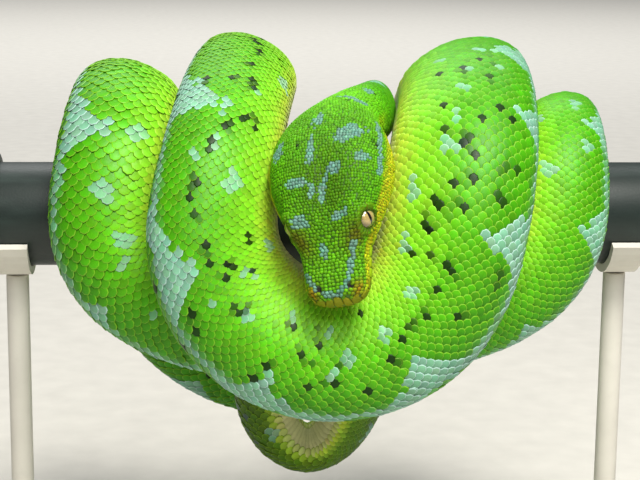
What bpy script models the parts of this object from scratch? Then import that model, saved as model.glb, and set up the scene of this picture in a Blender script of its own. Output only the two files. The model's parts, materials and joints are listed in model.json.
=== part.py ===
"""Green tree python coiled over a cut length of pipe, as a life-size museum model.

The snake is one long loft: a centreline laid over the perch in alternate front and
back hangs, with a body section that is taller than it is wide. Thin cuts part it into
a head, a lower jaw, lengths of neck, trunk and tail. A flat base with two rods and
saddles holds the perch. Metres, +Z up, the origin under the middle of the base.
"""
import math

import bmesh
import bpy
import numpy as np
from mathutils import Matrix, Vector

# ---- driving dimensions, metres ----
MM = 0.001
GAP = 0.0003                    # clearance between neighbouring pieces
PERCH_RADIUS = 0.016
PERCH_HEIGHT = 0.132            # perch axis above the floor
PERCH_HALF_LENGTH = 0.113
PERCH_SIDES = 40
COLLAR_FROM = 0.0995            # inner face of the wider sleeve on the left end
COLLAR_LENGTH = 0.012
COLLAR_WALL = 0.0028
BASE_LENGTH = 0.240
BASE_DEPTH = 0.188
BASE_THICKNESS = 0.009
BASE_CORNER = 0.014
BASE_EDGE = 0.0015
ROD_RADIUS = 0.0035
ROD_OFFSET = 0.0945             # rods stand this far left and right of the middle
SADDLE_WALL = 0.0026
SADDLE_LENGTH = 0.010
SADDLE_ANGLE = 130.0            # degrees of pipe that each saddle cups

# ---- the snake's course, millimetres from the middle of the perch axis ----
SNOUT_TIP = (0.0, -80.5, -11.0)
HEAD_AXIS_END = (-2.3, -66.0, 24.5)
NECK_RISE = ((1.0, -53.5, 31.5), (8.0, -36.0, 33.5), (13.0, -17.0, 33.0))
HEAD_ROLL = 20.0                # degrees, the left cheek turned to the front
# Over: x, y, z of the centreline on top of the perch, degrees of outward lean.
# Hang: reach from the axis at its sides and at its lowest point, x of the first
# side, the lowest point and the second side, height of the sides and of the lowest
# point, share of the back that is turned away from the perch.
COURSE = (
    ("over", (16.5, 3.0, 31.5), 0.0),
    ("hang", (35.0, 38.0), (13.0, -6.0, -26.0), (8.0, -13.0), 0.0),
    ("over", (-22.0, 2.0, 43.5), -48.0),
    ("hang", (-59.0, -63.0), (-36.0, -1.0, 34.5), (3.0, -30.5), 0.42),
    ("over", (44.0, 2.0, 38.0), 50.0),
    ("hang", (47.0, 48.0), (48.0, -8.0, -61.0), (-2.0, -61.0), 0.0),
    ("over", (-58.5, 0.0, 33.9), -50.0),
    ("hang", (-31.0, -33.0), (-64.5, 0.0, 69.0), (-1.5, -28.5), 0.15),
    ("over", (74.0, 0.0, 28.8), 52.0),
)
# Tail: down behind the perch, a tight loop below it, then one turn round it.
# Each row is a place and the way the back points there.
TAIL_COURSE = (
    ((77.0, 21.5, 20.5), (1.0, 0.3, 0.6)),
    ((75.0, 30.0, -3.0), (1.0, 0.5, 0.0)),
    ((66.0, 23.0, -26.0), (0.8, 0.3, -0.6)),
    ((48.0, 10.0, -37.0), (0.2, 0.3, -1.0)),
    ((28.0, 7.0, -44.0), (0.4, 0.4, -0.9)),
    ((15.0, 10.0, -56.0), (0.9, 0.5, -0.3)),
    ((11.5, 12.0, -71.5), (0.7, 0.7, -0.7)),
    ((-2.5, 13.0, -84.5), (0.0, 0.8, -1.0)),
    ((-16.5, 12.0, -71.5), (-0.7, 0.7, -0.7)),
    ((-18.5, 12.0, -54.0), (-1.0, 0.4, -0.2)),
    ((-15.0, 14.0, -38.0), (-1.0, 0.5, 0.0)),
    ((-10.0, 18.5, -22.0), (-0.5, 0.8, -0.3)),
    ((-5.0, 22.5, -3.0), (0.0, 1.0, 0.0)),
    ((-1.0, 17.5, 15.0), (0.0, 0.7, 0.7)),
    ((0.0, 0.0, 21.8), (0.0, 0.0, 1.0)),
    ((1.0, -15.5, 15.0), (0.0, -0.7, 0.7)),
    ((2.0, -20.5, 1.0), (0.0, -1.0, 0.0)),
    ((3.0, -19.0, -9.0), (0.0, -1.0, -0.3)),
)
SHOULDER_TURNS = (30.0, 60.0)   # degrees of the bend from the top to a hanging side
HANG_TURNS = (0.0, 30.0, 60.0, 90.0, 120.0, 150.0, 180.0)
COURSE_STEP = 3.0               # spacing of the worked-out centreline
COURSE_RELAX = 14               # smoothing passes over it
BACK_RELAX = (4, 8)             # rounds and passes that even out the roll

# ---- the snake's girth, millimetres ----
# Body: share of the whole length, half of the height from belly to back.
BODY_HEIGHT = ((0.070, 10.2), (0.120, 11.2), (0.160, 14.4), (0.200, 17.4), (0.260, 17.8),
               (0.310, 18.8), (0.355, 22.0), (0.410, 21.8), (0.500, 20.0), (0.580, 18.3),
               (0.680, 17.4), (0.755, 13.4), (0.820, 12.4), (0.865, 11.0), (0.905, 10.2),
               (0.930, 7.0), (0.945, 5.4), (0.965, 4.0), (1.000, 1.2))
BODY_WIDTH_SHARE = 0.75
# Drop of the belly as a share of the rise; the belly fills out on the inside of the front hang.
BELLY_SHARE = ((0.000, 0.93), (0.225, 0.93), (0.255, 1.34), (0.285, 1.34), (0.325, 1.24),
               (0.362, 0.93), (1.000, 0.93))
# Head: distance from the snout tip, half width, rise of the crown, drop of the chin.
HEAD_SHAPE = ((0.0, 4.8, 1.3, 2.2), (1.2, 6.9, 3.1, 3.8), (2.4, 7.9, 4.2, 4.7),
              (4.5, 8.8, 5.2, 5.5), (7.5, 9.3, 5.9, 6.1), (11.0, 9.6, 6.3, 6.7),
              (15.0, 10.2, 6.9, 7.4), (18.5, 11.9, 8.1, 8.0), (22.0, 13.5, 9.2, 8.7),
              (26.0, 15.3, 9.7, 9.4), (31.0, 17.0, 10.1, 10.2), (37.0, 17.6, 10.4, 10.8),
              (43.0, 16.9, 10.5, 10.9), (49.0, 14.9, 10.3, 10.6), (56.0, 11.4, 10.1, 10.2),
              (64.0, 8.9, 10.1, 9.9))
HEAD_BLEND = (64.0, 84.0)       # where the head's shape gives way to the body's
HEAD_SQUARENESS = 0.82          # power of the sine on the head, below 1 is squarer
HEAD_LENGTH = 47.0
MOUTH_LENGTH = 41.0             # how far the jaw line runs back from the snout
MOUTH_DROP = (-1.8, -4.6)       # jaw line under the head's axis, at the snout and its end
EYE_PLACE = (22.0, 9.2, 4.9)    # back from the snout tip, out from the middle, up
EYE_RADIUS = 3.2
EYE_TILT = 0.95                 # how much each eye looks up
EYE_SIDES = 16

# ---- how the loft is cut ----
BODY_SIDES = 20
HEAD_SIDES = 24
BODY_STATION = 10.5             # spacing of the sections along the body
TAIL_STATION = 7.0
TAIL_FINE_FROM = 1180.0
SNOUT_STATIONS = (0.0, 0.5, 1.2, 2.2, 3.5, 5.2, 7.5, 10.0, 12.5, 15.0)
HEAD_STATION = 2.7
TRUNK_NODES = ("neck_01", "neck_02", "neck_03", "trunk_01", "trunk_02", "trunk_03",
               "trunk_04", "trunk_05", "trunk_06", "trunk_07", "tail_01", "tail_02",
               "tail_03")
TAIL_CUTS = (4, 7, 11)          # rows of TAIL_COURSE at which the tail is parted

COLOURS = {
    "back": (0.11, 0.40, 0.035, 0.45, 0.0),
    "head": (0.09, 0.30, 0.030, 0.45, 0.0),
    "eye": (0.42, 0.26, 0.14, 0.12, 0.0),
    "pipe": (0.030, 0.040, 0.038, 0.42, 0.0),
    "stand": (0.62, 0.61, 0.58, 0.55, 0.0),
}


# ---------------------------------------------------------------- the course

def arc_parts(degrees):
    """Sine and cosine of an angle in degrees."""
    turn = math.radians(degrees)
    return math.sin(turn), math.cos(turn)


def hang_rows(before, hang, after):
    """Way points of one hang between two crossings, each with its back direction."""
    _, (reach, low_reach), (first, low, second), (side_z, low_z), turned = hang
    outward = 1.0 if first > second else -1.0
    away = math.copysign(turned, reach)
    rows = []

    def shoulder(crossing, side_x, degrees, sign):
        sine, cosine = arc_parts(degrees)
        (x, y, z), lean = crossing[1], crossing[2]
        share = degrees / 90.0
        lean_x, lean_z = arc_parts(lean)
        place = (x + (side_x - x) * share, y + (reach - y) * sine, side_z + (z - side_z) * cosine)
        back = (lean_x * (1.0 - share) + sign * share, away * share, lean_z * (1.0 - share))
        rows.append((place, back))

    for degrees in SHOULDER_TURNS:
        shoulder(before, first, degrees, outward)
    for degrees in HANG_TURNS:
        sine, cosine = arc_parts(degrees)
        side = first if cosine > 0.0 else second
        place = (low + (side - low) * abs(cosine), reach + (low_reach - reach) * sine,
                 side_z - (side_z - low_z) * sine)
        rows.append((place, (outward * cosine, away, -sine)))
    for degrees in reversed(SHOULDER_TURNS):
        shoulder(after, second, degrees, -outward)
    return rows


def way_points():
    """Every way point from snout to tail tip, with the named rows' indices."""
    roll_x, roll_y = arc_parts(HEAD_ROLL)
    face = (-roll_x, -roll_y, 0.2)
    rows = [(SNOUT_TIP, face), (HEAD_AXIS_END, face)]
    rows += list(zip(NECK_RISE, ((-0.25, -0.75, 0.5), (0.0, -0.5, 0.85), (0.05, -0.2, 1.0))))
    cuts = []
    for index, row in enumerate(COURSE):
        if row[0] == "over":
            cuts.append(len(rows))
            lean_x, lean_z = arc_parts(row[2])
            rows.append((row[1], (lean_x, 0.0, lean_z)))
        else:
            cuts.append(len(rows) + len(SHOULDER_TURNS) + len(HANG_TURNS) // 2)
            rows += hang_rows(COURSE[index - 1], row, COURSE[index + 1])
    cuts += [len(rows) + row for row in TAIL_CUTS]
    rows += TAIL_COURSE
    places = np.array([row[0] for row in rows], dtype=float)
    backs = np.array([row[1] for row in rows], dtype=float)
    return places, backs, cuts


def smooth_curve(points, steps):
    """Centripetal Catmull-Rom curve through the points, with steps samples a span."""
    ends = np.vstack([2 * points[0] - points[1], points, 2 * points[-1] - points[-2]])
    samples = []
    for i in range(1, len(ends) - 2):
        p0, p1, p2, p3 = ends[i - 1:i + 3]
        t1 = math.sqrt(np.linalg.norm(p1 - p0))
        t2 = t1 + math.sqrt(np.linalg.norm(p2 - p1))
        t3 = t2 + math.sqrt(np.linalg.norm(p3 - p2))
        t = np.linspace(t1, t2, steps, endpoint=False)[:, None]
        a1 = ((t1 - t) * p0 + t * p1) / t1
        a2 = ((t2 - t) * p1 + (t - t1) * p2) / (t2 - t1)
        a3 = ((t3 - t) * p2 + (t - t2) * p3) / (t3 - t2)
        b1 = ((t2 - t) * a1 + t * a2) / t2
        b2 = ((t3 - t) * a2 + (t - t1) * a3) / (t3 - t1)
        samples.append(((t2 - t) * b1 + (t - t1) * b2) / (t2 - t1))
    samples.append(points[-1][None])
    return np.vstack(samples)


def relax(values, passes):
    """Average each inner value with its neighbours, several times."""
    values = values.copy()
    for _ in range(passes):
        values[1:-1] = (values[:-2] + 2.0 * values[1:-1] + values[2:]) / 4.0
    return values


def run_of(points):
    """Distance along a row of points."""
    return np.concatenate([[0.0], np.cumsum(np.linalg.norm(np.diff(points, axis=0), axis=1))])


def columns_at(where, known, values):
    """Straight-line readings of each column of values."""
    return np.stack([np.interp(where, known, values[:, k]) for k in range(values.shape[1])], 1)


class Course:
    """The centreline in millimetres: places, and the tangent, back and side directions."""

    def __init__(self):
        places, backs, cuts = way_points()
        steps = 16
        curve = smooth_curve(places, steps)
        share = np.arange(len(curve)) / steps
        back = columns_at(share, np.arange(len(places)), backs)
        run = run_of(curve)
        even = np.linspace(0.0, run[-1], int(round(run[-1] / COURSE_STEP)) + 1)
        cut_share = np.array([run[index * steps] for index in cuts]) / run[-1]
        back = columns_at(even, run, back)
        curve = relax(columns_at(even, run, curve), COURSE_RELAX)
        run = run_of(curve)
        self.length = run[-1]
        self.run = np.linspace(0.0, run[-1], int(round(run[-1] / COURSE_STEP)) + 1)
        self.place = columns_at(self.run, run, curve)
        back = columns_at(self.run, run, back)
        self.ahead = np.gradient(self.place, axis=0)
        self.ahead /= np.linalg.norm(self.ahead, axis=1)[:, None]
        rounds, passes = BACK_RELAX
        for _ in range(rounds):
            back = relax(self.square_to_ahead(back), passes)
        self.back = self.square_to_ahead(back)
        self.side = np.cross(self.ahead, self.back)
        self.cuts = cut_share * self.length

    def square_to_ahead(self, back):
        """Back directions made square to the centreline and of unit length."""
        back = back - (back * self.ahead).sum(axis=1)[:, None] * self.ahead
        return back / np.linalg.norm(back, axis=1)[:, None]

    def frame_at(self, where):
        """Place, tangent, back and side directions at some distances from the snout."""
        parts = [columns_at(where, self.run, v) for v in (self.place, self.ahead, self.back, self.side)]
        return [parts[0]] + [v / np.linalg.norm(v, axis=1)[:, None] for v in parts[1:]]


# ---------------------------------------------------------------- the girth

def body_girth(where, length):
    """Half width, rise and drop of the body's section."""
    fine = np.linspace(0.0, 1.0, 400)
    height, belly = (
        np.interp(where / length, fine, relax(np.interp(fine, table[:, 0], table[:, 1]), 30))
        for table in (np.array(BODY_HEIGHT), np.array(BELLY_SHARE)))
    return height * BODY_WIDTH_SHARE, height, height * belly


def girth(where, length):
    """Half width, rise, drop and share of head in the section at some distances."""
    where = np.asarray(where, dtype=float)
    table = np.array(HEAD_SHAPE)
    head = [np.interp(where, table[:, 0], table[:, k]) for k in (1, 2, 3)]
    body = body_girth(where, length)
    share = np.clip((where - HEAD_BLEND[0]) / (HEAD_BLEND[1] - HEAD_BLEND[0]), 0.0, 1.0)
    share = share * share * (3.0 - 2.0 * share)
    mixed = [h * (1.0 - share) + b * share for h, b in zip(head, body)]
    return mixed[0], mixed[1], mixed[2], 1.0 - share


def section_ring(sides, half_width, rise, drop, head_share):
    """One section as side and back offsets, starting from the middle of the back."""
    turn = np.linspace(0.0, 2.0 * math.pi, sides, endpoint=False)
    sine, cosine = np.sin(turn), np.cos(turn)
    power = 1.0 - head_share * (1.0 - HEAD_SQUARENESS)
    across = np.sign(sine) * np.abs(sine) ** power * (1.0 - 0.08 * cosine * (1.0 - head_share))
    up = np.where(cosine > 0.0, cosine * rise, -np.abs(cosine) ** 0.9 * drop)
    return across * half_width, up


def loft_points(course, stations, sides):
    """Rings of points round the centreline, in metres in the part's own frame."""
    place, _, back, side = course.frame_at(stations)
    half_width, rise, drop, head_share = girth(stations, course.length)
    rings = []
    for i in range(len(stations)):
        across, up = section_ring(sides, half_width[i], rise[i], drop[i], head_share[i])
        ring = place[i] + across[:, None] * side[i] + up[:, None] * back[i]
        rings.append(ring * MM + np.array((0.0, 0.0, PERCH_HEIGHT)))
    return rings


# ---------------------------------------------------------------- shared helpers

def clear_scene():
    """Remove every object that the scene starts with."""
    for item in list(bpy.data.objects):
        bpy.data.objects.remove(item, do_unlink=True)


def make_material(name, key):
    """A Principled material from one row of COLOURS."""
    red, green, blue, roughness, metallic = COLOURS[key]
    material = bpy.data.materials.new(name + "_finish")
    material.use_nodes = True
    shader = material.node_tree.nodes["Principled BSDF"]
    shader.inputs["Base Color"].default_value = (red, green, blue, 1.0)
    shader.inputs["Roughness"].default_value = roughness
    shader.inputs["Metallic"].default_value = metallic
    return material


def add_piece(collection, name, shape, key, smooth_angle=40.0):
    """Turn a bmesh into a named object with its own material."""
    bmesh.ops.recalc_face_normals(shape, faces=shape.faces)
    mesh = bpy.data.meshes.new(name)
    shape.to_mesh(mesh)
    shape.free()
    mesh.shade_smooth()
    mesh.set_sharp_from_angle(angle=math.radians(smooth_angle))
    piece = bpy.data.objects.new(name, mesh)
    piece.data.materials.append(make_material(name, key))
    collection.objects.link(piece)
    return piece


def loft_shape(rings):
    """A closed bmesh through the rings, with a flat cap at each end."""
    shape = bmesh.new()
    rows = [[shape.verts.new(point) for point in ring] for ring in rings]
    sides = len(rows[0])
    for lower, upper in zip(rows, rows[1:]):
        for k in range(sides):
            n = (k + 1) % sides
            shape.faces.new((lower[k], lower[n], upper[n], upper[k]))
    shape.faces.new(list(reversed(rows[0])))
    shape.faces.new(rows[-1])
    return shape


def keep_side(shape, point, normal):
    """Cut away what lies on the normal's side of a plane and close the cut."""
    everything = shape.verts[:] + shape.edges[:] + shape.faces[:]
    bmesh.ops.bisect_plane(shape, geom=everything, dist=1e-7, plane_co=point, plane_no=normal,
                           clear_outer=True)
    open_edges = [edge for edge in shape.edges if edge.is_boundary]
    bmesh.ops.edgenet_fill(shape, edges=open_edges)


# ---------------------------------------------------------------- the snake

def head_frame(course):
    """The snout tip and the head's own directions, in metres: back, side, up."""
    place, ahead, back, side = course.frame_at(np.array([0.0, HEAD_LENGTH * 0.5]))
    origin = Vector(place[0] * MM) + Vector((0.0, 0.0, PERCH_HEIGHT))
    return origin, Vector(ahead[1]), Vector(side[1]), Vector(back[1])


def eye_centres(course):
    """Centres of the snake's own left and right eye."""
    origin, ahead, side, up = head_frame(course)
    along, out, rise = (value * MM for value in EYE_PLACE)
    return {"eye_left": origin + ahead * along + side * out + up * rise,
            "eye_right": origin + ahead * along - side * out + up * rise}


def add_eye(collection, course, name, centre):
    """An eyeball, with its pole along the way it looks."""
    _, _, side, up = head_frame(course)
    outward = side * (1.0 if name == "eye_left" else -1.0)
    look = (outward + up * EYE_TILT).normalized()
    shape = bmesh.new()
    bmesh.ops.create_uvsphere(shape, u_segments=EYE_SIDES, v_segments=EYE_SIDES // 2,
                              radius=EYE_RADIUS * MM)
    turn = Vector((0.0, 0.0, 1.0)).rotation_difference(look).to_matrix().to_4x4()
    bmesh.ops.transform(shape, matrix=turn, verts=shape.verts)
    bmesh.ops.translate(shape, vec=centre, verts=shape.verts)
    return add_piece(collection, name, shape, "eye", 80.0)


def cut_away(piece, name, shape, cutters):
    """Take a hidden shape out of a piece."""
    bmesh.ops.recalc_face_normals(shape, faces=shape.faces)
    mesh = bpy.data.meshes.new(name)
    shape.to_mesh(mesh)
    shape.free()
    cutter = bpy.data.objects.new(name, mesh)
    cutter.hide_render = True
    cutter.display_type = "WIRE"
    cutters.objects.link(cutter)
    cut = piece.modifiers.new(name, "BOOLEAN")
    cut.operation = "DIFFERENCE"
    cut.object = cutter


def head_stations(last):
    """Sections of the head: close together at the snout, then evenly spaced."""
    count = int(math.ceil((last - SNOUT_STATIONS[-1]) / HEAD_STATION))
    return np.concatenate([SNOUT_STATIONS[:-1], np.linspace(SNOUT_STATIONS[-1], last, count + 1)])


def build_head(collection, cutters, course):
    """Head, lower jaw and eyes."""
    rings = loft_points(course, head_stations(HEAD_LENGTH), HEAD_SIDES)
    origin, ahead, side, up = head_frame(course)
    front, rear = (value * MM for value in MOUTH_DROP)
    mouth_back = MOUTH_LENGTH * MM
    line = (ahead * mouth_back + up * (rear - front)).normalized()
    mouth_up = side.cross(line).normalized()
    if mouth_up.dot(up) < 0.0:
        mouth_up.negate()
    mouth = origin + up * front
    hinge = mouth + line * mouth_back

    lower = loft_shape(rings)
    keep_side(lower, mouth - mouth_up * GAP * 0.5, mouth_up)
    keep_side(lower, hinge - line * GAP * 0.5, line)
    add_piece(collection, "lower_jaw", lower, "head")

    head = add_piece(collection, "head", loft_shape(rings), "head")
    room = bmesh.new()
    bmesh.ops.create_cube(room, size=2.0 * mouth_back)
    turn = Matrix((line, side, mouth_up)).transposed().to_4x4()
    bmesh.ops.transform(room, matrix=turn, verts=room.verts)
    corner = hinge + line * GAP * 0.5 + mouth_up * GAP * 0.5
    bmesh.ops.translate(room, vec=corner - (line + mouth_up) * mouth_back, verts=room.verts)
    cut_away(head, "jaw_room", room, cutters)
    for name, centre in eye_centres(course).items():
        socket = bmesh.new()
        bmesh.ops.create_uvsphere(socket, u_segments=EYE_SIDES, v_segments=EYE_SIDES // 2,
                                  radius=EYE_RADIUS * MM + 1.6 * GAP)
        bmesh.ops.translate(socket, vec=centre, verts=socket.verts)
        cut_away(head, name + "_socket", socket, cutters)
        add_eye(collection, course, name, centre)


def build_lengths(collection, course):
    """The neck, trunk and tail, parted at the top and the bottom of each hang."""
    edges = [HEAD_LENGTH] + list(course.cuts) + [course.length]
    for name, start, end in zip(TRUNK_NODES, edges, edges[1:]):
        spacing = TAIL_STATION if start > TAIL_FINE_FROM else BODY_STATION
        count = int(math.ceil((end - start) / spacing))
        stations = np.linspace(start, end, count + 1)
        rings = loft_points(course, stations, BODY_SIDES)
        ahead = course.frame_at(stations[:1])[1][0]
        rings[0] = rings[0] + ahead * GAP
        add_piece(collection, name, loft_shape(rings), "back")


# ---------------------------------------------------------------- perch and stand

def turned_x(radius, from_x, to_x, sides, centre_z):
    """A plain round bar along X."""
    shape = bmesh.new()
    bmesh.ops.create_cone(shape, cap_ends=True, segments=sides, radius1=radius, radius2=radius,
                          depth=to_x - from_x)
    bmesh.ops.rotate(shape, cent=(0.0, 0.0, 0.0), verts=shape.verts,
                     matrix=Vector((0.0, 0.0, 1.0)).rotation_difference(Vector((1.0, 0.0, 0.0))).to_matrix())
    bmesh.ops.translate(shape, vec=((from_x + to_x) / 2.0, 0.0, centre_z), verts=shape.verts)
    return shape


def spun_wall(inner, outer, from_x, to_x, start, sweep, steps):
    """A curved wall round the perch axis: a rectangle spun about it."""
    shape = bmesh.new()
    sine, cosine = arc_parts(start)
    corners = []
    for x, radius in ((from_x, inner), (to_x, inner), (to_x, outer), (from_x, outer)):
        corners.append(shape.verts.new((x, radius * cosine, PERCH_HEIGHT + radius * sine)))
    face = shape.faces.new(corners)
    full = abs(sweep - 360.0) < 1e-6
    bmesh.ops.spin(shape, geom=[face] + face.edges[:] + face.verts[:], cent=(0.0, 0.0, PERCH_HEIGHT),
                   axis=(1.0, 0.0, 0.0), angle=math.radians(sweep), steps=steps, use_merge=full)
    if full:
        bmesh.ops.remove_doubles(shape, verts=shape.verts, dist=1e-6)
        inner_faces = [f for f in shape.faces if all(len(e.link_faces) > 2 for e in f.edges)]
        bmesh.ops.delete(shape, geom=inner_faces, context="FACES")
    return shape


def build_perch(collection):
    """The cut length of pipe and the wider sleeve on its left end."""
    bar = turned_x(PERCH_RADIUS, -PERCH_HALF_LENGTH, PERCH_HALF_LENGTH, PERCH_SIDES, PERCH_HEIGHT)
    ends = [e for e in bar.edges if e.calc_face_angle(0.0) > 1.0]
    bmesh.ops.bevel(bar, geom=ends, offset=0.0012, segments=2, profile=0.5, affect="EDGES", material=-1)
    add_piece(collection, "perch", bar, "pipe")
    bore = PERCH_RADIUS + GAP
    sleeve = spun_wall(bore, bore + COLLAR_WALL, -COLLAR_FROM - COLLAR_LENGTH, -COLLAR_FROM,
                       0.0, 360.0, PERCH_SIDES)
    add_piece(collection, "perch_sleeve", sleeve, "pipe")


def build_stand(collection):
    """A flat base, two rods and the saddles in which the perch lies."""
    base = bmesh.new()
    bmesh.ops.create_cube(base, size=1.0)
    bmesh.ops.scale(base, vec=(BASE_LENGTH, BASE_DEPTH, BASE_THICKNESS), verts=base.verts)
    bmesh.ops.translate(base, vec=(0.0, 0.0, BASE_THICKNESS / 2.0), verts=base.verts)
    upright = [e for e in base.edges if abs(e.verts[0].co.z - e.verts[1].co.z) > BASE_THICKNESS / 2.0]
    bmesh.ops.bevel(base, geom=upright, offset=BASE_CORNER, segments=6, profile=0.5, affect="EDGES",
                    material=-1)
    rim = [e for e in base.edges if min(v.co.z for v in e.verts) > BASE_THICKNESS * 0.9]
    bmesh.ops.bevel(base, geom=rim, offset=BASE_EDGE, segments=2, profile=0.5, affect="EDGES",
                    material=-1)
    add_piece(collection, "stand_base", base, "stand")

    cup_inner = PERCH_RADIUS + GAP
    cup_outer = cup_inner + SADDLE_WALL
    rod_foot = BASE_THICKNESS + GAP
    rod_top = PERCH_HEIGHT - cup_outer - GAP
    for side, sign in (("left", -1.0), ("right", 1.0)):
        x = sign * ROD_OFFSET
        cup = spun_wall(cup_inner, cup_outer, x - SADDLE_LENGTH / 2.0, x + SADDLE_LENGTH / 2.0,
                        270.0 - SADDLE_ANGLE / 2.0, SADDLE_ANGLE, 14)
        add_piece(collection, "stand_saddle_" + side, cup, "stand")
        rod = bmesh.new()
        bmesh.ops.create_cone(rod, cap_ends=True, segments=20, radius1=ROD_RADIUS,
                              radius2=ROD_RADIUS, depth=rod_top - rod_foot)
        bmesh.ops.translate(rod, vec=(x, 0.0, (rod_foot + rod_top) / 2.0), verts=rod.verts)
        add_piece(collection, "stand_rod_" + side, rod, "stand")


def main():
    """Build the snake, its perch and the stand."""
    clear_scene()
    collection = bpy.data.collections.new("coiled_green_tree_python")
    cutters = bpy.data.collections.new("cutters")
    bpy.context.scene.collection.children.link(collection)
    bpy.context.scene.collection.children.link(cutters)
    course = Course()
    build_head(collection, cutters, course)
    build_lengths(collection, course)
    build_perch(collection)
    build_stand(collection)


main()
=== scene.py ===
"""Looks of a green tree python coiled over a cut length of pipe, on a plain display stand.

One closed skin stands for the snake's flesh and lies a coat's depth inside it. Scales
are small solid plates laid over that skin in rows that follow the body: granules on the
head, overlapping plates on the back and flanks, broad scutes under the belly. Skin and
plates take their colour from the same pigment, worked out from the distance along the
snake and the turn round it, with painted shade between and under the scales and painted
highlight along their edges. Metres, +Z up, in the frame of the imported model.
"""

import json
import logging
import math
from dataclasses import dataclass
from enum import Enum

import bmesh
import bpy
import numpy as np
from mathutils import Matrix, Vector
from mathutils.bvhtree import BVHTree

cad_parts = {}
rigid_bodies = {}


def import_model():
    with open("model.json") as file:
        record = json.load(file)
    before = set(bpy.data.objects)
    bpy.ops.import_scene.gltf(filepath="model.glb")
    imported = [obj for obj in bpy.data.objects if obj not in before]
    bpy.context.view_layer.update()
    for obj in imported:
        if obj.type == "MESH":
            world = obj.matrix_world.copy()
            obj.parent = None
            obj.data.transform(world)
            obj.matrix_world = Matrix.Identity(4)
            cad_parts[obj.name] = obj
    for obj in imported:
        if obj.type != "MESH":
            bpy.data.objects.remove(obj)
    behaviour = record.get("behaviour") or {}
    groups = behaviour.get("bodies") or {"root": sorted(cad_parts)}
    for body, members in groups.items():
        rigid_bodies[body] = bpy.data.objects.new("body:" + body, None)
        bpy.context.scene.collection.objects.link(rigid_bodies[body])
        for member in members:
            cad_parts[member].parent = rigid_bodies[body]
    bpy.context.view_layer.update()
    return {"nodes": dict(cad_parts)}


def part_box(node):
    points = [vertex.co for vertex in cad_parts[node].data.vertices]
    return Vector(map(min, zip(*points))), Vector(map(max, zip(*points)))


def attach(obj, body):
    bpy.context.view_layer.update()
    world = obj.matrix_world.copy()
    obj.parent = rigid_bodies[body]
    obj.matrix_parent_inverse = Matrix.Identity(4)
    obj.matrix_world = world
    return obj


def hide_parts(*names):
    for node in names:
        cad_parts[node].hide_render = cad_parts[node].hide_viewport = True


for leftover in list(bpy.data.objects):
    bpy.data.objects.remove(leftover, do_unlink=True)
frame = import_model()

LOG = logging.getLogger("tree_python")
Array = np.ndarray
Triple = tuple[float, float, float]
MM = 0.001
PERCH_HEIGHT = 0.132            # perch axis above the floor, metres
PIGMENT = "pigment"             # colour attribute that skin and scales carry, painted shade and highlight included
BAKE_MAP = "OFBake"
NOSTRIL = (4.6, 4.2, 4.2)       # back from the snout, out from the middle, up, millimetres


# ---- small maths ----

def srgb(red: int, green: int, blue: int) -> Triple:
    """Turn a display colour of 0 to 255 into the linear one that shaders take."""
    def linear(value: int) -> float:
        """One channel made linear."""
        share = value / 255.0
        return share / 12.92 if share <= 0.04045 else ((share + 0.055) / 1.055) ** 2.4
    return linear(red), linear(green), linear(blue)


def arc_parts(degrees: float) -> tuple[float, float]:
    """Sine and cosine of an angle in degrees."""
    turn = math.radians(degrees)
    return math.sin(turn), math.cos(turn)


def unit(rows: Array) -> Array:
    """Rows of vectors at unit length."""
    return rows / np.maximum(np.linalg.norm(rows, axis=-1, keepdims=True), 1e-12)


def ease(value: Array) -> Array:
    """A soft step from 0 to 1."""
    share = np.clip(value, 0.0, 1.0)
    return share * share * (3.0 - 2.0 * share)


def relax(values: Array, passes: int) -> Array:
    """Average each inner value with its neighbours, several times."""
    values = values.copy()
    for _ in range(passes):
        values[1:-1] = (values[:-2] + 2.0 * values[1:-1] + values[2:]) / 4.0
    return values


def run_of(points: Array) -> Array:
    """Distance along a row of points."""
    return np.concatenate([[0.0], np.cumsum(np.linalg.norm(np.diff(points, axis=0), axis=1))])


def columns_at(where: Array, known: Array, values: Array) -> Array:
    """Straight-line readings of each column of values."""
    return np.stack([np.interp(where, known, values[:, k]) for k in range(values.shape[1])], 1)


# ---- the snake's course ----

@dataclass(frozen=True)
class Crossing:
    """Where the centreline passes over the perch, in millimetres from its axis."""

    place: Triple
    lean: float                 # degrees that the back leans outward


@dataclass(frozen=True)
class Hang:
    """A bight that hangs before or behind the perch, in millimetres from its axis."""

    reach: float                # out from the perch, at the bight's sides
    low_reach: float            # and at its lowest point
    across: Triple              # x of the first side, the lowest point, the second side
    heights: tuple[float, float]  # of the sides and of the lowest point
    turned: float               # share of the back that is turned away from the perch


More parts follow.
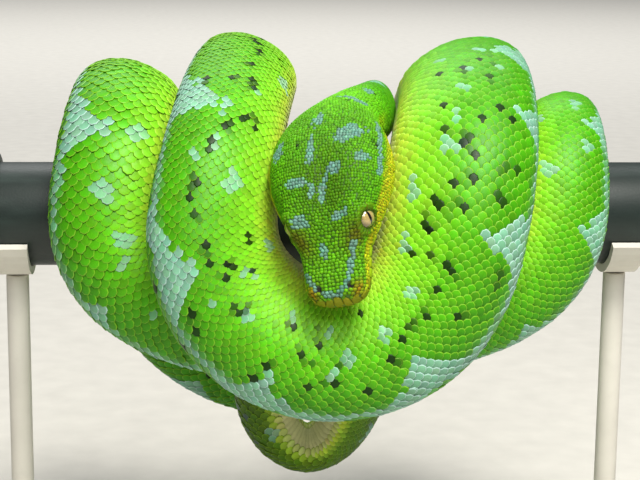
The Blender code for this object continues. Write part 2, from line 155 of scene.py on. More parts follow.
@dataclass
class Course:
    """The centreline of the snake and the directions round it, in millimetres.

    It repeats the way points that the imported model's lengths were lofted on.
    """

    snout_tip: Triple = (0.0, -80.5, -11.0)
    head_axis_end: Triple = (-2.3, -66.0, 24.5)
    neck_rise: tuple[Triple, ...] = ((1.0, -53.5, 31.5), (8.0, -36.0, 33.5), (13.0, -17.0, 33.0))
    neck_backs: tuple[Triple, ...] = ((-0.25, -0.75, 0.5), (0.0, -0.5, 0.85), (0.05, -0.2, 1.0))
    head_roll: float = 20.0
    bights: tuple = (
        Crossing((16.5, 3.0, 31.5), 0.0),
        Hang(35.0, 38.0, (13.0, -6.0, -26.0), (8.0, -13.0), 0.0),
        Crossing((-22.0, 2.0, 43.5), -48.0),
        Hang(-59.0, -63.0, (-36.0, -1.0, 34.5), (3.0, -30.5), 0.42),
        Crossing((44.0, 2.0, 38.0), 50.0),
        Hang(47.0, 48.0, (48.0, -8.0, -61.0), (-2.0, -61.0), 0.0),
        Crossing((-58.5, 0.0, 33.9), -50.0),
        Hang(-31.0, -33.0, (-64.5, 0.0, 69.0), (-1.5, -28.5), 0.15),
        Crossing((74.0, 0.0, 28.8), 52.0),
    )
    tail: tuple[tuple[Triple, Triple], ...] = (
        ((77.0, 21.5, 20.5), (1.0, 0.3, 0.6)),
        ((75.0, 30.0, -3.0), (1.0, 0.5, 0.0)),
        ((66.0, 23.0, -26.0), (0.8, 0.3, -0.6)),
        ((48.0, 10.0, -37.0), (0.2, 0.3, -1.0)),
        ((28.0, 7.0, -44.0), (0.4, 0.4, -0.9)),
        ((15.0, 10.0, -56.0), (0.9, 0.5, -0.3)),
        ((11.5, 12.0, -71.5), (0.7, 0.7, -0.7)),
        ((-2.5, 13.0, -84.5), (0.0, 0.8, -1.0)),
        ((-16.5, 12.0, -71.5), (-0.7, 0.7, -0.7)),
        ((-18.5, 12.0, -54.0), (-1.0, 0.4, -0.2)),
        ((-15.0, 14.0, -38.0), (-1.0, 0.5, 0.0)),
        ((-10.0, 18.5, -22.0), (-0.5, 0.8, -0.3)),
        ((-5.0, 22.5, -3.0), (0.0, 1.0, 0.0)),
        ((-1.0, 17.5, 15.0), (0.0, 0.7, 0.7)),
        ((0.0, 0.0, 21.8), (0.0, 0.0, 1.0)),
        ((1.0, -15.5, 15.0), (0.0, -0.7, 0.7)),
        ((2.0, -20.5, 1.0), (0.0, -1.0, 0.0)),
        ((3.0, -19.0, -9.0), (0.0, -1.0, -0.3)),
    )
    shoulder_turns: tuple[float, ...] = (30.0, 60.0)
    hang_turns: tuple[float, ...] = (0.0, 30.0, 60.0, 90.0, 120.0, 150.0, 180.0)
    step: float = 3.0
    samples: int = 16
    line_passes: int = 14
    back_rounds: int = 4
    back_passes: int = 8

    def __post_init__(self) -> None:
        """Lay the centreline and settle which way the back points along it."""
        places, backs = self.way_points()
        curve = self.curve_through(places)
        back = columns_at(np.arange(len(curve)) / self.samples, np.arange(len(places)), backs)
        run = run_of(curve)
        even = self.even_steps(run[-1])
        back = columns_at(even, run, back)
        curve = relax(columns_at(even, run, curve), self.line_passes)
        run = run_of(curve)
        self.length = float(run[-1])
        self.run = self.even_steps(run[-1])
        self.place = columns_at(self.run, run, curve)
        back = columns_at(self.run, run, back)
        self.ahead = unit(np.gradient(self.place, axis=0))
        for _ in range(self.back_rounds):
            back = relax(self.square(back), self.back_passes)
        self.back = self.square(back)
        self.side = np.cross(self.ahead, self.back)

    def even_steps(self, length: float) -> Array:
        """Evenly spaced distances over a length."""
        return np.linspace(0.0, length, int(round(length / self.step)) + 1)

    def square(self, back: Array) -> Array:
        """Back directions made square to the centreline, at unit length."""
        return unit(back - (back * self.ahead).sum(axis=1)[:, None] * self.ahead)

    def hang_rows(self, before: Crossing, hang: Hang, after: Crossing) -> list:
        """Way points of one bight, each with its back direction.

        Args:
            before: The crossing that the bight comes from.
            hang: The bight.
            after: The crossing that it goes to.

        Returns:
            Pairs of a place and a back direction.
        """
        first, low, second = hang.across
        side_z, low_z = hang.heights
        outward = 1.0 if first > second else -1.0
        away = math.copysign(hang.turned, hang.reach)

        def shoulder(crossing: Crossing, side_x: float, degrees: float, sign: float) -> tuple:
            """A way point of the bend between a crossing and a hanging side."""
            sine, cosine = arc_parts(degrees)
            x, y, z = crossing.place
            share = degrees / 90.0
            lean_x, lean_z = arc_parts(crossing.lean)
            place = (x + (side_x - x) * share, y + (hang.reach - y) * sine,
                     side_z + (z - side_z) * cosine)
            back = (lean_x * (1.0 - share) + sign * share, away * share, lean_z * (1.0 - share))
            return place, back

        rows = [shoulder(before, first, degrees, outward) for degrees in self.shoulder_turns]
        for degrees in self.hang_turns:
            sine, cosine = arc_parts(degrees)
            side = first if cosine > 0.0 else second
            place = (low + (side - low) * abs(cosine),
                     hang.reach + (hang.low_reach - hang.reach) * sine,
                     side_z - (side_z - low_z) * sine)
            rows.append((place, (outward * cosine, away, -sine)))
        rows += [shoulder(after, second, degrees, -outward)
                 for degrees in reversed(self.shoulder_turns)]
        return rows

    def way_points(self) -> tuple[Array, Array]:
        """Every way point from snout to tail tip, and the back direction at each."""
        roll_x, roll_y = arc_parts(self.head_roll)
        face = (-roll_x, -roll_y, 0.2)
        rows = [(self.snout_tip, face), (self.head_axis_end, face)]
        rows += list(zip(self.neck_rise, self.neck_backs))
        for index, bight in enumerate(self.bights):
            if isinstance(bight, Crossing):
                lean_x, lean_z = arc_parts(bight.lean)
                rows.append((bight.place, (lean_x, 0.0, lean_z)))
            else:
                rows += self.hang_rows(self.bights[index - 1], bight, self.bights[index + 1])
        rows += self.tail
        places = np.array([row[0] for row in rows], dtype=float)
        backs = np.array([row[1] for row in rows], dtype=float)
        return places, backs

    def curve_through(self, points: Array) -> Array:
        """Centripetal Catmull-Rom curve through the points."""
        ends = np.vstack([2 * points[0] - points[1], points, 2 * points[-1] - points[-2]])
        spans = []
        for i in range(1, len(ends) - 2):
            p0, p1, p2, p3 = ends[i - 1:i + 3]
            t1 = math.sqrt(np.linalg.norm(p1 - p0))
            t2 = t1 + math.sqrt(np.linalg.norm(p2 - p1))
            t3 = t2 + math.sqrt(np.linalg.norm(p3 - p2))
            t = np.linspace(t1, t2, self.samples, endpoint=False)[:, None]
            a1 = ((t1 - t) * p0 + t * p1) / t1
            a2 = ((t2 - t) * p1 + (t - t1) * p2) / (t2 - t1)
            a3 = ((t3 - t) * p2 + (t - t2) * p3) / (t3 - t2)
            b1 = ((t2 - t) * a1 + t * a2) / t2
            b2 = ((t3 - t) * a2 + (t - t1) * a3) / (t3 - t1)
            spans.append(((t2 - t) * b1 + (t - t1) * b2) / (t2 - t1))
        spans.append(points[-1][None])
        return np.vstack(spans)

    def frame_at(self, where: Array) -> list[Array]:
        """Place, tangent, back and side directions at some distances from the snout."""
        parts = [columns_at(where, self.run, rows)
                 for rows in (self.place, self.ahead, self.back, self.side)]
        return [parts[0]] + [unit(rows) for rows in parts[1:]]


# ---- the snake's surface ----

@dataclass(frozen=True)
class Swelling:
    """A soft rise or hollow of the head, in millimetres."""

    place: Triple               # back from the snout, out from the middle, up
    reach: Triple
    height: float
    right_only: bool = False    # else the same on both sides


@dataclass
class Girth:
    """Sections of the snake: half width, rise to the back and drop to the belly."""

    body: tuple[tuple[float, float], ...] = (
        (0.070, 10.2), (0.120, 11.2), (0.160, 14.4), (0.200, 17.4), (0.260, 17.8),
        (0.310, 18.8), (0.355, 22.0), (0.410, 21.8), (0.500, 20.0), (0.580, 18.3),
        (0.680, 17.4), (0.755, 13.4), (0.820, 12.4), (0.865, 11.0), (0.905, 10.2),
        (0.930, 7.0), (0.945, 5.4), (0.965, 4.0), (1.000, 1.2))
    head: tuple[tuple[float, float, float, float], ...] = (
        (0.0, 4.8, 1.3, 2.2), (1.2, 6.9, 3.1, 3.8), (2.4, 7.9, 4.2, 4.7),
        (4.5, 8.8, 5.2, 5.5), (7.5, 9.3, 5.9, 6.1), (11.0, 9.6, 6.3, 6.7),
        (15.0, 10.2, 6.9, 7.4), (18.5, 11.9, 8.1, 8.0), (22.0, 13.5, 9.2, 8.7),
        (26.0, 15.3, 9.7, 9.4), (31.0, 17.0, 10.1, 10.2), (37.0, 17.6, 10.4, 10.8),
        (43.0, 16.9, 10.5, 10.9), (49.0, 14.9, 10.3, 10.6), (56.0, 11.4, 10.1, 10.2),
        (64.0, 8.9, 10.1, 9.9))
    head_blend: tuple[float, float] = (64.0, 84.0)
    width_share: float = 0.75
    drop_share: tuple[tuple[float, float], ...] = (
        (0.000, 0.93), (0.225, 0.93), (0.255, 1.34), (0.285, 1.34), (0.325, 1.24),
        (0.362, 0.93), (1.000, 0.93))
    squareness: float = 0.82
    passes: int = 30
    length: float = 1.0

    def __post_init__(self) -> None:
        """Even out the body's heights once."""
        table = np.array(self.body)
        self.fine = np.linspace(0.0, 1.0, 400)
        self.heights = relax(np.interp(self.fine, table[:, 0], table[:, 1]), self.passes)
        table = np.array(self.drop_share)
        self.drops = relax(np.interp(self.fine, table[:, 0], table[:, 1]), self.passes)

    def at(self, along: Array) -> tuple[Array, Array, Array, Array]:
        """Half width, rise, drop and the head's share of the section."""
        table = np.array(self.head)
        head = [np.interp(along, table[:, 0], table[:, k]) for k in (1, 2, 3)]
        height = np.interp(along / self.length, self.fine, self.heights)
        drop_share = np.interp(along / self.length, self.fine, self.drops)
        body = (height * self.width_share, height, height * drop_share)
        start, end = self.head_blend
        share = ease((along - start) / (end - start))
        mixed = [h * (1.0 - share) + b * share for h, b in zip(head, body)]
        return mixed[0], mixed[1], mixed[2], 1.0 - share


@dataclass
class Hide:
    """The skin's surface: a place for a distance along the snake and a turn round it.

    Distances along run from the snout, with a short negative stretch that closes the
    flat front of the snout. A turn of 0 is the middle of the back, and it grows
    towards the snake's left side.
    """

    course: Course
    girth: Girth
    eyes: tuple[Vector, Vector]     # centres, left then right, metres
    eye_radius: float               # millimetres
    depth: float = 0.5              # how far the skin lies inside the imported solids
    nose: float = 4.1               # from the rim of the snout's flat front to its middle
    head_end: float = 92.0          # where the head's own forms have faded out
    mouth_drop: tuple[float, float] = (-1.8, -4.6)
    mouth_length: float = 41.0
    swellings: tuple[Swelling, ...] = (
        Swelling((20.5, 7.2, 8.2), (5.0, 1.9, 2.2), 0.85),      # brow
        Swelling((20.8, 9.2, 8.7), (4.0, 1.5, 1.5), 1.30, True),    # right brow, heavier
        Swelling((22.0, 13.0, 3.2), (3.4, 1.8, 1.7), -0.90),    # cheek below the eye
        Swelling((27.5, 9.5, 8.6), (4.5, 3.0, 2.5), 0.35),      # rise behind the brow
        Swelling((12.0, 6.8, 5.0), (4.2, 1.3, 1.4), 0.50),      # ridge from eye to nostril
        Swelling((13.8, 9.6, 1.4), (3.4, 2.2, 1.6), -0.75),     # hollow below it
        Swelling((4.8, 5.8, 3.4), (2.4, 2.0, 1.7), 0.50),       # swollen sides of the nose
        Swelling(NOSTRIL, (0.60, 0.60, 0.9), -1.10),
        Swelling((2.4, 0.0, 4.6), (2.4, 1.0, 1.6), -0.35),      # dent between the nostrils
        Swelling((12.5, 0.0, 7.0), (5.0, 2.8, 2.0), -0.40),     # hollow of the snout's top
        Swelling((31.0, 0.0, 10.5), (5.0, 2.0, 3.0), -1.00),    # pit of the crown
        Swelling((36.0, 0.0, 10.5), (11.0, 2.6, 3.0), -0.50),   # furrow behind it
        Swelling((37.0, 8.6, 8.2), (7.0, 3.6, 3.5), 0.60),      # jaw muscles
        Swelling((30.0, 14.6, 2.6), (4.5, 2.0, 1.5), -0.50),    # groove behind the eye
    )

    def __post_init__(self) -> None:
        """Settle the head's own directions and find the eyes in them."""
        place, ahead, back, side = self.course.frame_at(np.array([0.0, 23.5]))
        self.head_origin = place[0]
        self.head_axes = np.stack([ahead[1], side[1], back[1]])
        self.eye_places = self.to_head(np.array([self.to_course(eye) for eye in self.eyes]))
        self.length = self.course.length

    @staticmethod
    def to_course(point: Vector) -> Array:
        """A point of the frame in the course's millimetres."""
        return (np.array(point) - np.array((0.0, 0.0, PERCH_HEIGHT))) / MM

    @staticmethod
    def to_frame(points: Array) -> Array:
        """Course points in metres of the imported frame."""
        return points * MM + np.array((0.0, 0.0, PERCH_HEIGHT))

    def to_head(self, points: Array) -> Array:
        """Course points as distances back from the snout, out to the left, and up."""
        return (points - self.head_origin) @ self.head_axes.T

    def from_head(self, points: Array) -> Array:
        """Distances back, out to the left and up in the head, as course points."""
        return points @ self.head_axes + self.head_origin

    def nearest(self, points: Array) -> tuple[Array, Array]:
        """Distances along and turns of the skin's places nearest to some head points."""
        along, turn = (grid.ravel() for grid in np.meshgrid(
            np.linspace(-self.nose + 0.2, 48.0, 105), np.radians(np.arange(-178.0, 179.0, 3.0))))
        known = self.to_head(self.place(along, turn))
        found = [int(np.argmin(((known - point) ** 2).sum(axis=1))) for point in points]
        return along[found], turn[found]

    def mouth_height(self, back: Array) -> Array:
        """Height of the mouth's line in the head, at distances back from the snout."""
        front, rear = self.mouth_drop
        return front + (rear - front) * back / self.mouth_length

    def plain(self, along: Array, turn: Array) -> tuple[Array, Array]:
        """The lofted surface without the head's forms, and the way out from its axis."""
        behind = np.maximum(along, 0.0)
        shut = np.clip(1.0 + along / self.nose, 0.0, 1.0)
        shut = np.sin(shut * math.pi / 2.0) * 0.35 + shut * 0.65
        run = behind + 0.6 * np.exp(-behind / 3.0) - 0.3 * (1.0 - shut ** 2)
        place, ahead, back, side = self.course.frame_at(run)
        half, rise, drop, head = self.girth.at(behind)
        half, rise, drop = ((value - self.depth) * shut for value in (half, rise, drop))
        sine, cosine = np.sin(turn), np.cos(turn)
        power = 1.0 - head * (1.0 - self.girth.squareness)
        narrowed = 1.0 - 0.08 * cosine * (1.0 - head)
        across = np.sign(sine) * np.abs(sine) ** power * narrowed * half
        up = np.where(cosine > 0.0, cosine * rise, -np.abs(cosine) ** 0.9 * drop)
        spoke = across[:, None] * side + up[:, None] * back
        front = ease(1.0 - along / 3.0) * 0.6 + ease(-along / self.nose * 2.0) * 3.0
        out = unit(unit(spoke) - front[:, None] * ahead)
        return place + spoke, out

    def relief(self, points: Array) -> Array:
        """Height of the head's forms at points of the plain surface."""
        back, out, up = self.to_head(points).T
        height = np.zeros(len(points))
        for form in self.swellings:
            (b, o, u), (rb, ro, ru) = form.place, form.reach
            over = -out if form.right_only else np.abs(out)
            away = ((back - b) / rb) ** 2 + ((over - o) / ro) ** 2 + ((up - u) / ru) ** 2
            height += form.height * np.exp(-0.5 * away)
        mouth = up - self.mouth_height(back)
        within = ease((self.mouth_length + 1.0 - back) / 4.0) * ease(back + 4.0)
        height += within * (0.28 * np.exp(-((mouth - 1.5) / 1.0) ** 2)
                            + 0.18 * np.exp(-((mouth + 1.4) / 0.9) ** 2)
                            - 0.55 * np.exp(-(mouth / 0.38) ** 2))
        for place in self.eye_places:
            gap = np.linalg.norm(self.to_head(points) - place, axis=1) - self.eye_radius
            height += 0.55 * np.exp(-((gap - 0.75) / 0.60) ** 2)
        return height

    def place(self, along: Array, turn: Array) -> Array:
        """Points of the skin in course millimetres.

        Args:
            along: Distances from the snout.
            turn: Turns round the body, in radians from the middle of the back.

        Returns:
            One row for each pair.
        """
        points, out = self.plain(along, turn)
        near = along < self.head_end
        if near.any():
            points[near] += self.relief(points[near])[:, None] * out[near]
        return points

    def tangents(self, along: Array, turn: Array) -> tuple[Array, Array, Array]:
        """Unit directions towards the tail, round to the left, and out of the skin."""
        step, swing = 0.25, 0.02
        toward = self.place(along + step, turn) - self.place(along - step, turn)
        leftward = self.place(along, turn + swing) - self.place(along, turn - swing)
        out = unit(np.cross(leftward, toward))
        toward = unit(toward)
        return toward, np.cross(toward, out), out

    def girth_table(self, along: float) -> tuple[Array, Array]:
        """Turns from back to belly at one distance, and the arc lengths to them."""
        turns = np.linspace(0.0, math.pi, 121)
        ring = self.place(np.full(len(turns), along), turns)
        return turns, run_of(ring)

    def unwrap(self, along: Array, turn: Array, part: Array | None = None) -> Array:
        """Places on the unwrapped skin: four bands of its length, one above the other.

        Args:
            along: Distances from the snout.
            turn: Turns, brought into one whole turn that starts at the belly.
            part: Band of each point, where that is already known.

        Returns:
            Rows of u and v, inside 0 to 1.
        """
        share = (along + self.nose) / (self.length + self.nose) * 4.0
        band = np.clip(np.floor(share), 0, 3) if part is None else part
        u = 0.01 + 0.98 * (share - band)
        v = (band + 0.03 + 0.94 * (turn / (2.0 * math.pi) + 0.5)) / 4.0
        return np.stack([u, v], 1)


# ---- pigment ----

class Tone(Enum):
    """Colours of the living snake, as they show in plain daylight; the crown and nostril tones are
    painted shade, the edge tones painted highlight.
    """

    BACK = srgb(66, 148, 8)
    FLANK = srgb(84, 172, 10)
    LOW_FLANK = srgb(128, 204, 34)
    EDGE = srgb(184, 208, 62)
    BELLY = srgb(204, 202, 146)
    NECK = srgb(104, 190, 20)
    HEAD = srgb(82, 152, 4)
    CROWN_SHADE = srgb(64, 98, 2)
    SNOUT = srgb(92, 160, 12)
    UMBER = srgb(92, 78, 6)
    LIP = srgb(186, 186, 24)
    LIP_EDGE = srgb(120, 84, 14)
    RUST = srgb(150, 104, 10)
    NOSTRIL_SHADE = srgb(26, 16, 6)
    BLUE = srgb(104, 150, 138)
    PALE_BLUE = srgb(128, 180, 158)
    PALE_RIM_HIGHLIGHT = srgb(190, 216, 218)
    FLECK = srgb(10, 30, 4)
    TAIL = srgb(72, 98, 12)
    SLATE = srgb(78, 104, 92)
    RIM_HIGHLIGHT = srgb(172, 214, 62)

    @property
    def colour(self) -> Array:
        """The linear colour as an array."""
        return np.array(self.value)


@dataclass(frozen=True)
class Wedge:
    """A pale wedge that runs down from the line of the back.

    Distances along are millimetres from the snout, turns are degrees from the back.
    """

    start: float
    end: float
    tip: float
    turn: float


@dataclass(frozen=True)
class Spot:
    """An oval mark: its place, its half length and half width in millimetres."""

    along: float
    turn: float
    long: float
    wide: float
    slant: float = 0.0          # degrees that the long axis swings towards the left side


@dataclass(frozen=True)
class Stroke:
    """A stripe of the head through some places, each a distance along and a turn."""

    places: tuple[tuple[float, float], ...]
    half: float                 # half width in millimetres


@dataclass
class Pigment:
    """Colour of the snake at any distance along and turn round it, with painted shade in the crown
    and the nostrils.

    Flecks are single dark scales. They, and the rows of the line of the back, are pairs
    of a distance along in millimetres and a turn in degrees.
    """

    length: float
    wedges: tuple[Wedge, ...] = (
        Wedge(298, 320, 315, -74), Wedge(342, 362, 352, -72),
        Wedge(376, 392, 383, -56), Wedge(408, 430, 419, -68),
        Wedge(441, 460, 453, -68), Wedge(474, 488, 482, -42),
        Wedge(502, 520, 509, -62), Wedge(846, 868, 860, -76),
        Wedge(892, 904, 898, -40), Wedge(1006, 1020, 1012, -52),
        Wedge(1030, 1046, 1039, -70), Wedge(1058, 1074, 1066, -48),
    )
    spots: tuple[Spot, ...] = (
        Spot(332, -92, 2.4, 2.4), Spot(328, -54, 1.6, 1.6),
        Spot(350, -128, 3.0, 1.6), Spot(370, -82, 1.8, 2.6),
        Spot(383, -102, 1.6, 1.6), Spot(402, -82, 1.8, 2.6),
        Spot(414, -92, 2.2, 1.8), Spot(432, -98, 3.2, 1.4),
        Spot(446, -116, 3.4, 1.6), Spot(470, -90, 1.6, 2.8),
        Spot(480, -88, 3.0, 1.4), Spot(462, -116, 4.0, 1.6),
        Spot(874, -80, 2.0, 3.4), Spot(886, -96, 2.2, 2.6),
        Spot(1052, -104, 2.2, 2.6),
    )
    flecks: tuple[tuple[float, float], ...] = (
        (305, -70), (303, -88), (334, -58), (317, -90), (320, -76), (325, -66), (346, -108),
        (349, -74), (354, -92), (356, -82), (358, -106), (366, -78), (398, -58), (406, -46),
        (414, -68), (418, -80), (423, -84), (410, -108), (434, -56), (442, -78), (445, -84),
        (445, -94), (444, -110), (452, -102), (458, -80), (458, -98), (462, -88), (463, -76),
        (472, -80), (474, -94), (478, -66), (482, -96), (502, -58), (498, -50), (498, -94),
        (461, -50))
    head_spots: tuple[Spot, ...] = (
        Spot(70, 16, 2.6, 1.6), Spot(58, 10, 1.1, 4.0, 12),
        Spot(46, -8, 2.4, 1.5), Spot(42, 17, 2.1, 4.4, -28),
        Spot(38, -9, 3.2, 1.0), Spot(39.5, -48, 2.3, 2.4),
        Spot(36, 32, 1.3, 2.0), Spot(33.5, 8, 1.2, 1.9),
        Spot(31, -20, 1.1, 2.8), Spot(29, -8, 1.5, 0.9),
        Spot(22, -23, 1.6, 2.1), Spot(22.5, 13, 1.1, 2.6, -28),
        Spot(14, -5, 2.6, 1.3),
    )
    strokes: tuple[Stroke, ...] = (
        Stroke(((16.0, 35.0), (12.0, 33.0), (8.5, 29.0), (6.2, 20.0)), 0.80),
        Stroke(((6.2, 20.0), (4.2, 14.0), (3.0, 8.0), (2.7, 0.0), (3.0, -14.0), (4.2, -28.0),
                (6.0, -38.0), (9.0, -48.0)), 0.80),
        Stroke(((34.0, 4.0), (30.0, 0.0), (26.5, -1.0)), 0.75),
        Stroke(((33.0, 58.0), (42.0, 56.0), (50.0, 52.0)), 0.80),
    )
    head_flecks: tuple[tuple[float, float], ...] = (
        (41.0, 44.0), (40.0, 50.0), (56.0, 4.0), (71.0, 30.0), (39.0, -20.0), (60.0, 40.0))
    line: tuple[tuple[float, float], ...] = (
        (0.0, 0.0), (320.0, 0.0), (345.0, -17.0), (375.0, -15.0), (430.0, -13.0), (450.0, -5.0),
        (472.0, 1.0), (520.0, 0.0), (830.0, 0.0), (858.0, -22.0), (890.0, -16.0),
        (1030.0, -10.0), (1050.0, -20.0), (1075.0, 0.0), (1414.0, 0.0))
    wedge_stretches: tuple[tuple[float, float], ...] = ((290.0, 525.0), (840.0, 1080.0))
    placed_stretch: tuple[float, float] = (296.0, 520.0)    # with placed marks on its right side
    filled_stretch: tuple[float, float] = (300.0, 510.0)    # of it, with small ones among them
    spot_draws: int = 150
    fleck_draws: int = 230
    small_spots: int = 14
    small_flecks: int = 34
    head_strength: float = 0.85     # how fully the head's marks hide its green
    fleck_radii: tuple[float, float] = (1.45, 0.75)     # on the body and on the head
    nostril_place: tuple[float, float] = (4.6, 27.5)    # distance along, and turn to each side
    nostril_radius: float = 0.98

    def line_turn(self, along: Array) -> Array:
        """Turn of the line of the back, which wanders where the body twists, in degrees."""
        table = np.array(self.line)
        return np.interp(along, table[:, 0], table[:, 1])

    def base(self, along: Array, turn: Array) -> Array:
        """Ground colour of the body, greener above and paler below."""
        degrees = np.abs(np.degrees(turn))
        stops = np.array([0.0, 45.0, 82.0, 112.0, 136.0, 152.0, 180.0])
        tones = [Tone.BACK, Tone.BACK, Tone.FLANK, Tone.LOW_FLANK, Tone.EDGE, Tone.BELLY,
                 Tone.BELLY]
        table = np.array([tone.colour for tone in tones])
        colour = columns_at(degrees, stops, table)
        patches = 0.5 + 0.5 * np.sin(along / 17.0 + 1.3) * np.sin(degrees / 21.0 + along / 29.0)
        colour *= (0.92 + 0.16 * patches)[:, None]
        tail = ease((along - 1170.0) / 80.0) * ease((140.0 - degrees) / 30.0)
        return self.mix(colour, Tone.TAIL.colour, tail * 0.85)

    def head(self, along: Array, turn: Array) -> Array:
        """Ground colour of the head and the neck next to it."""
        degrees = np.degrees(turn)
        stops = np.array([-5.0, 10.0, 22.0, 46.0, 62.0, 84.0])
        tones = [Tone.SNOUT, Tone.SNOUT, Tone.HEAD, Tone.HEAD, Tone.NECK, Tone.NECK]
        colour = columns_at(along, stops, np.array([tone.colour for tone in tones]))
        # Painted shade: the middle of the crown, over its pit and the furrow behind, is darkened to
        # a deep olive.
        crown = np.exp(-(degrees / 24.0) ** 2) * np.exp(-((along - 30.0) / 10.0) ** 2)
        colour = self.mix(colour, Tone.CROWN_SHADE.colour, crown * 0.75)
        # Olive-brown on the head in front of each eye.
        eye_umber = np.exp(-((np.abs(degrees) - 37.0) / 19.0) ** 2 - ((along - 17.5) / 4.6) ** 2)
        colour = self.mix(colour, Tone.UMBER.colour, eye_umber * 0.85)
        low = ease((np.abs(degrees) - 62.0) / 14.0) * ease((along + 6.0) / 6.0)
        colour = self.mix(colour, Tone.LIP.colour, low * ease((88.0 - along) / 44.0))
        nose = np.exp(-((along - 3.6) / 2.4) ** 2 - ((np.abs(degrees) - 46.0) / 15.0) ** 2)
        colour = self.mix(colour, Tone.RUST.colour, nose * 0.85)
        under = ease((np.abs(degrees) - 128.0) / 20.0)
        return self.mix(colour, Tone.BELLY.colour, under)

    @staticmethod
    def mix(colour: Array, other: Array, share: Array) -> Array:
        """Blend towards another colour by a share for each row."""
        share = np.clip(share, 0.0, 1.0)[:, None]
        return colour * (1.0 - share) + other * share

    @staticmethod
    def oval(spot: Spot, along: Array, turn: Array, rate: Array) -> Array:
        """How far each point lies from a spot, 1 on its edge.

        Args:
            spot: The spot.
            along: Distances along.
            turn: Turns in radians.
            rate: Millimetres of girth for each radian.

        Returns:
            Distances in half sizes of the spot.
        """
        away = along - spot.along
        over = (turn - math.radians(spot.turn)) * rate
        sine, cosine = arc_parts(spot.slant)
        return np.hypot((away * cosine + over * sine) / spot.long,
                        (over * cosine - away * sine) / spot.wide)

    @staticmethod
    def from_stroke(stroke: Stroke, along: Array, turn: Array, rate: Array) -> Array:
        """Distance from a stroke's middle, in its half widths."""
        nearest = np.full(len(along), np.inf)
        for (a, over_a), (b, over_b) in zip(stroke.places[:-1], stroke.places[1:]):
            run = b - a
            swing = math.radians(over_b - over_a) * rate
            away, over = along - a, (turn - math.radians(over_a)) * rate
            share = np.clip((away * run + over * swing) / (run ** 2 + swing ** 2), 0.0, 1.0)
            nearest = np.minimum(nearest, np.hypot(away - share * run, over - share * swing))
        return nearest / stroke.half

    def wedge_mask(self, wedge: Wedge, along: Array, turn: Array, ragged: Array) -> Array:
        """True inside a wedge that hangs from the line of the back."""
        line = self.line_turn(along)
        reach = (np.degrees(turn) - line) / (wedge.turn - line)
        here = (reach > -0.06) & (reach < 1.0)
        reach = np.clip(reach, 0.0, 1.0) * (1.0 + 0.18 * ragged)
        middle = (wedge.start + wedge.end) / 2.0
        centre = middle + (wedge.tip - middle) * reach
        half = (wedge.end - wedge.start) / 2.0 * np.maximum(1.0 - reach, 0.0) ** 1.35
        return here & (np.abs(along - centre) < half)

    def scattered(self, draw: np.random.Generator) -> tuple[list[Wedge], list[Spot], list]:
        """Marks from a seeded draw: where none are placed, and small ones among those.

        Args:
            draw: The seeded source.

        Returns:
            Wedges, spots, and the places of flecks.
        """
        wedges, spots, flecks = [], [], []
        along = 96.0
        while along < self.length - 60.0:
            side = 1.0 if draw.random() < 0.5 else -1.0
            if side > 0.0 or not any(low < along < high for low, high in self.wedge_stretches):
                half = draw.uniform(5.0, 9.5)
                wedges.append(Wedge(along - half, along + half, along + draw.uniform(-3.0, 3.0),
                                    side * draw.uniform(34.0, 66.0)))
            along += draw.uniform(14.0, 24.0)
        start, end = self.placed_stretch
        for _ in range(self.spot_draws):
            place = draw.uniform(92.0, self.length - 40.0)
            turn = draw.uniform(-125.0, 125.0)
            if not (start < place < end and turn < 0.0):
                spots.append(Spot(place, turn, draw.uniform(1.2, 2.8), draw.uniform(1.2, 2.6)))
        for _ in range(self.fleck_draws):
            place = draw.uniform(92.0, 760.0)
            turn = draw.uniform(-112.0, 112.0)
            if not (start < place < end and turn < 0.0):
                flecks.append((place, turn))
        for _ in range(self.small_flecks):
            flecks.append((draw.uniform(*self.filled_stretch), draw.uniform(-108.0, -34.0)))
        for _ in range(self.small_spots):
            spots.append(Spot(draw.uniform(*self.filled_stretch), draw.uniform(-112.0, -40.0),
                              draw.uniform(1.0, 2.0), draw.uniform(1.0, 1.8)))
        return wedges, spots, flecks

    def __post_init__(self) -> None:
        """Draw the scattered marks once, so that skin and scales share them."""
        wedges, spots, flecks = self.scattered(np.random.default_rng(11))
        self.all_wedges = list(self.wedges) + wedges
        self.all_spots = list(self.spots) + spots
        self.all_flecks = list(self.flecks) + flecks

    def pale(self, along: Array, turn: Array, rate: Array, ragged: Array) -> Array:
        """Share of pale blue at each place: the line of the back, its wedges and the spots."""
        from_line = np.abs(turn - np.radians(self.line_turn(along))) * rate
        share = np.exp(-(from_line / (1.35 + 0.5 * ragged)) ** 2) * 0.9
        share *= ease((along - 100.0) / 60.0) * ease((self.length - 40.0 - along) / 60.0)
        for wedge in self.all_wedges:
            share = np.where(self.wedge_mask(wedge, along, turn, ragged), 1.0, share)
        for spot in self.all_spots:
            inside = self.oval(spot, along, turn, rate) < 1.0 + 0.3 * ragged
            share = np.where(inside, np.maximum(share, 0.8), share)
        return share

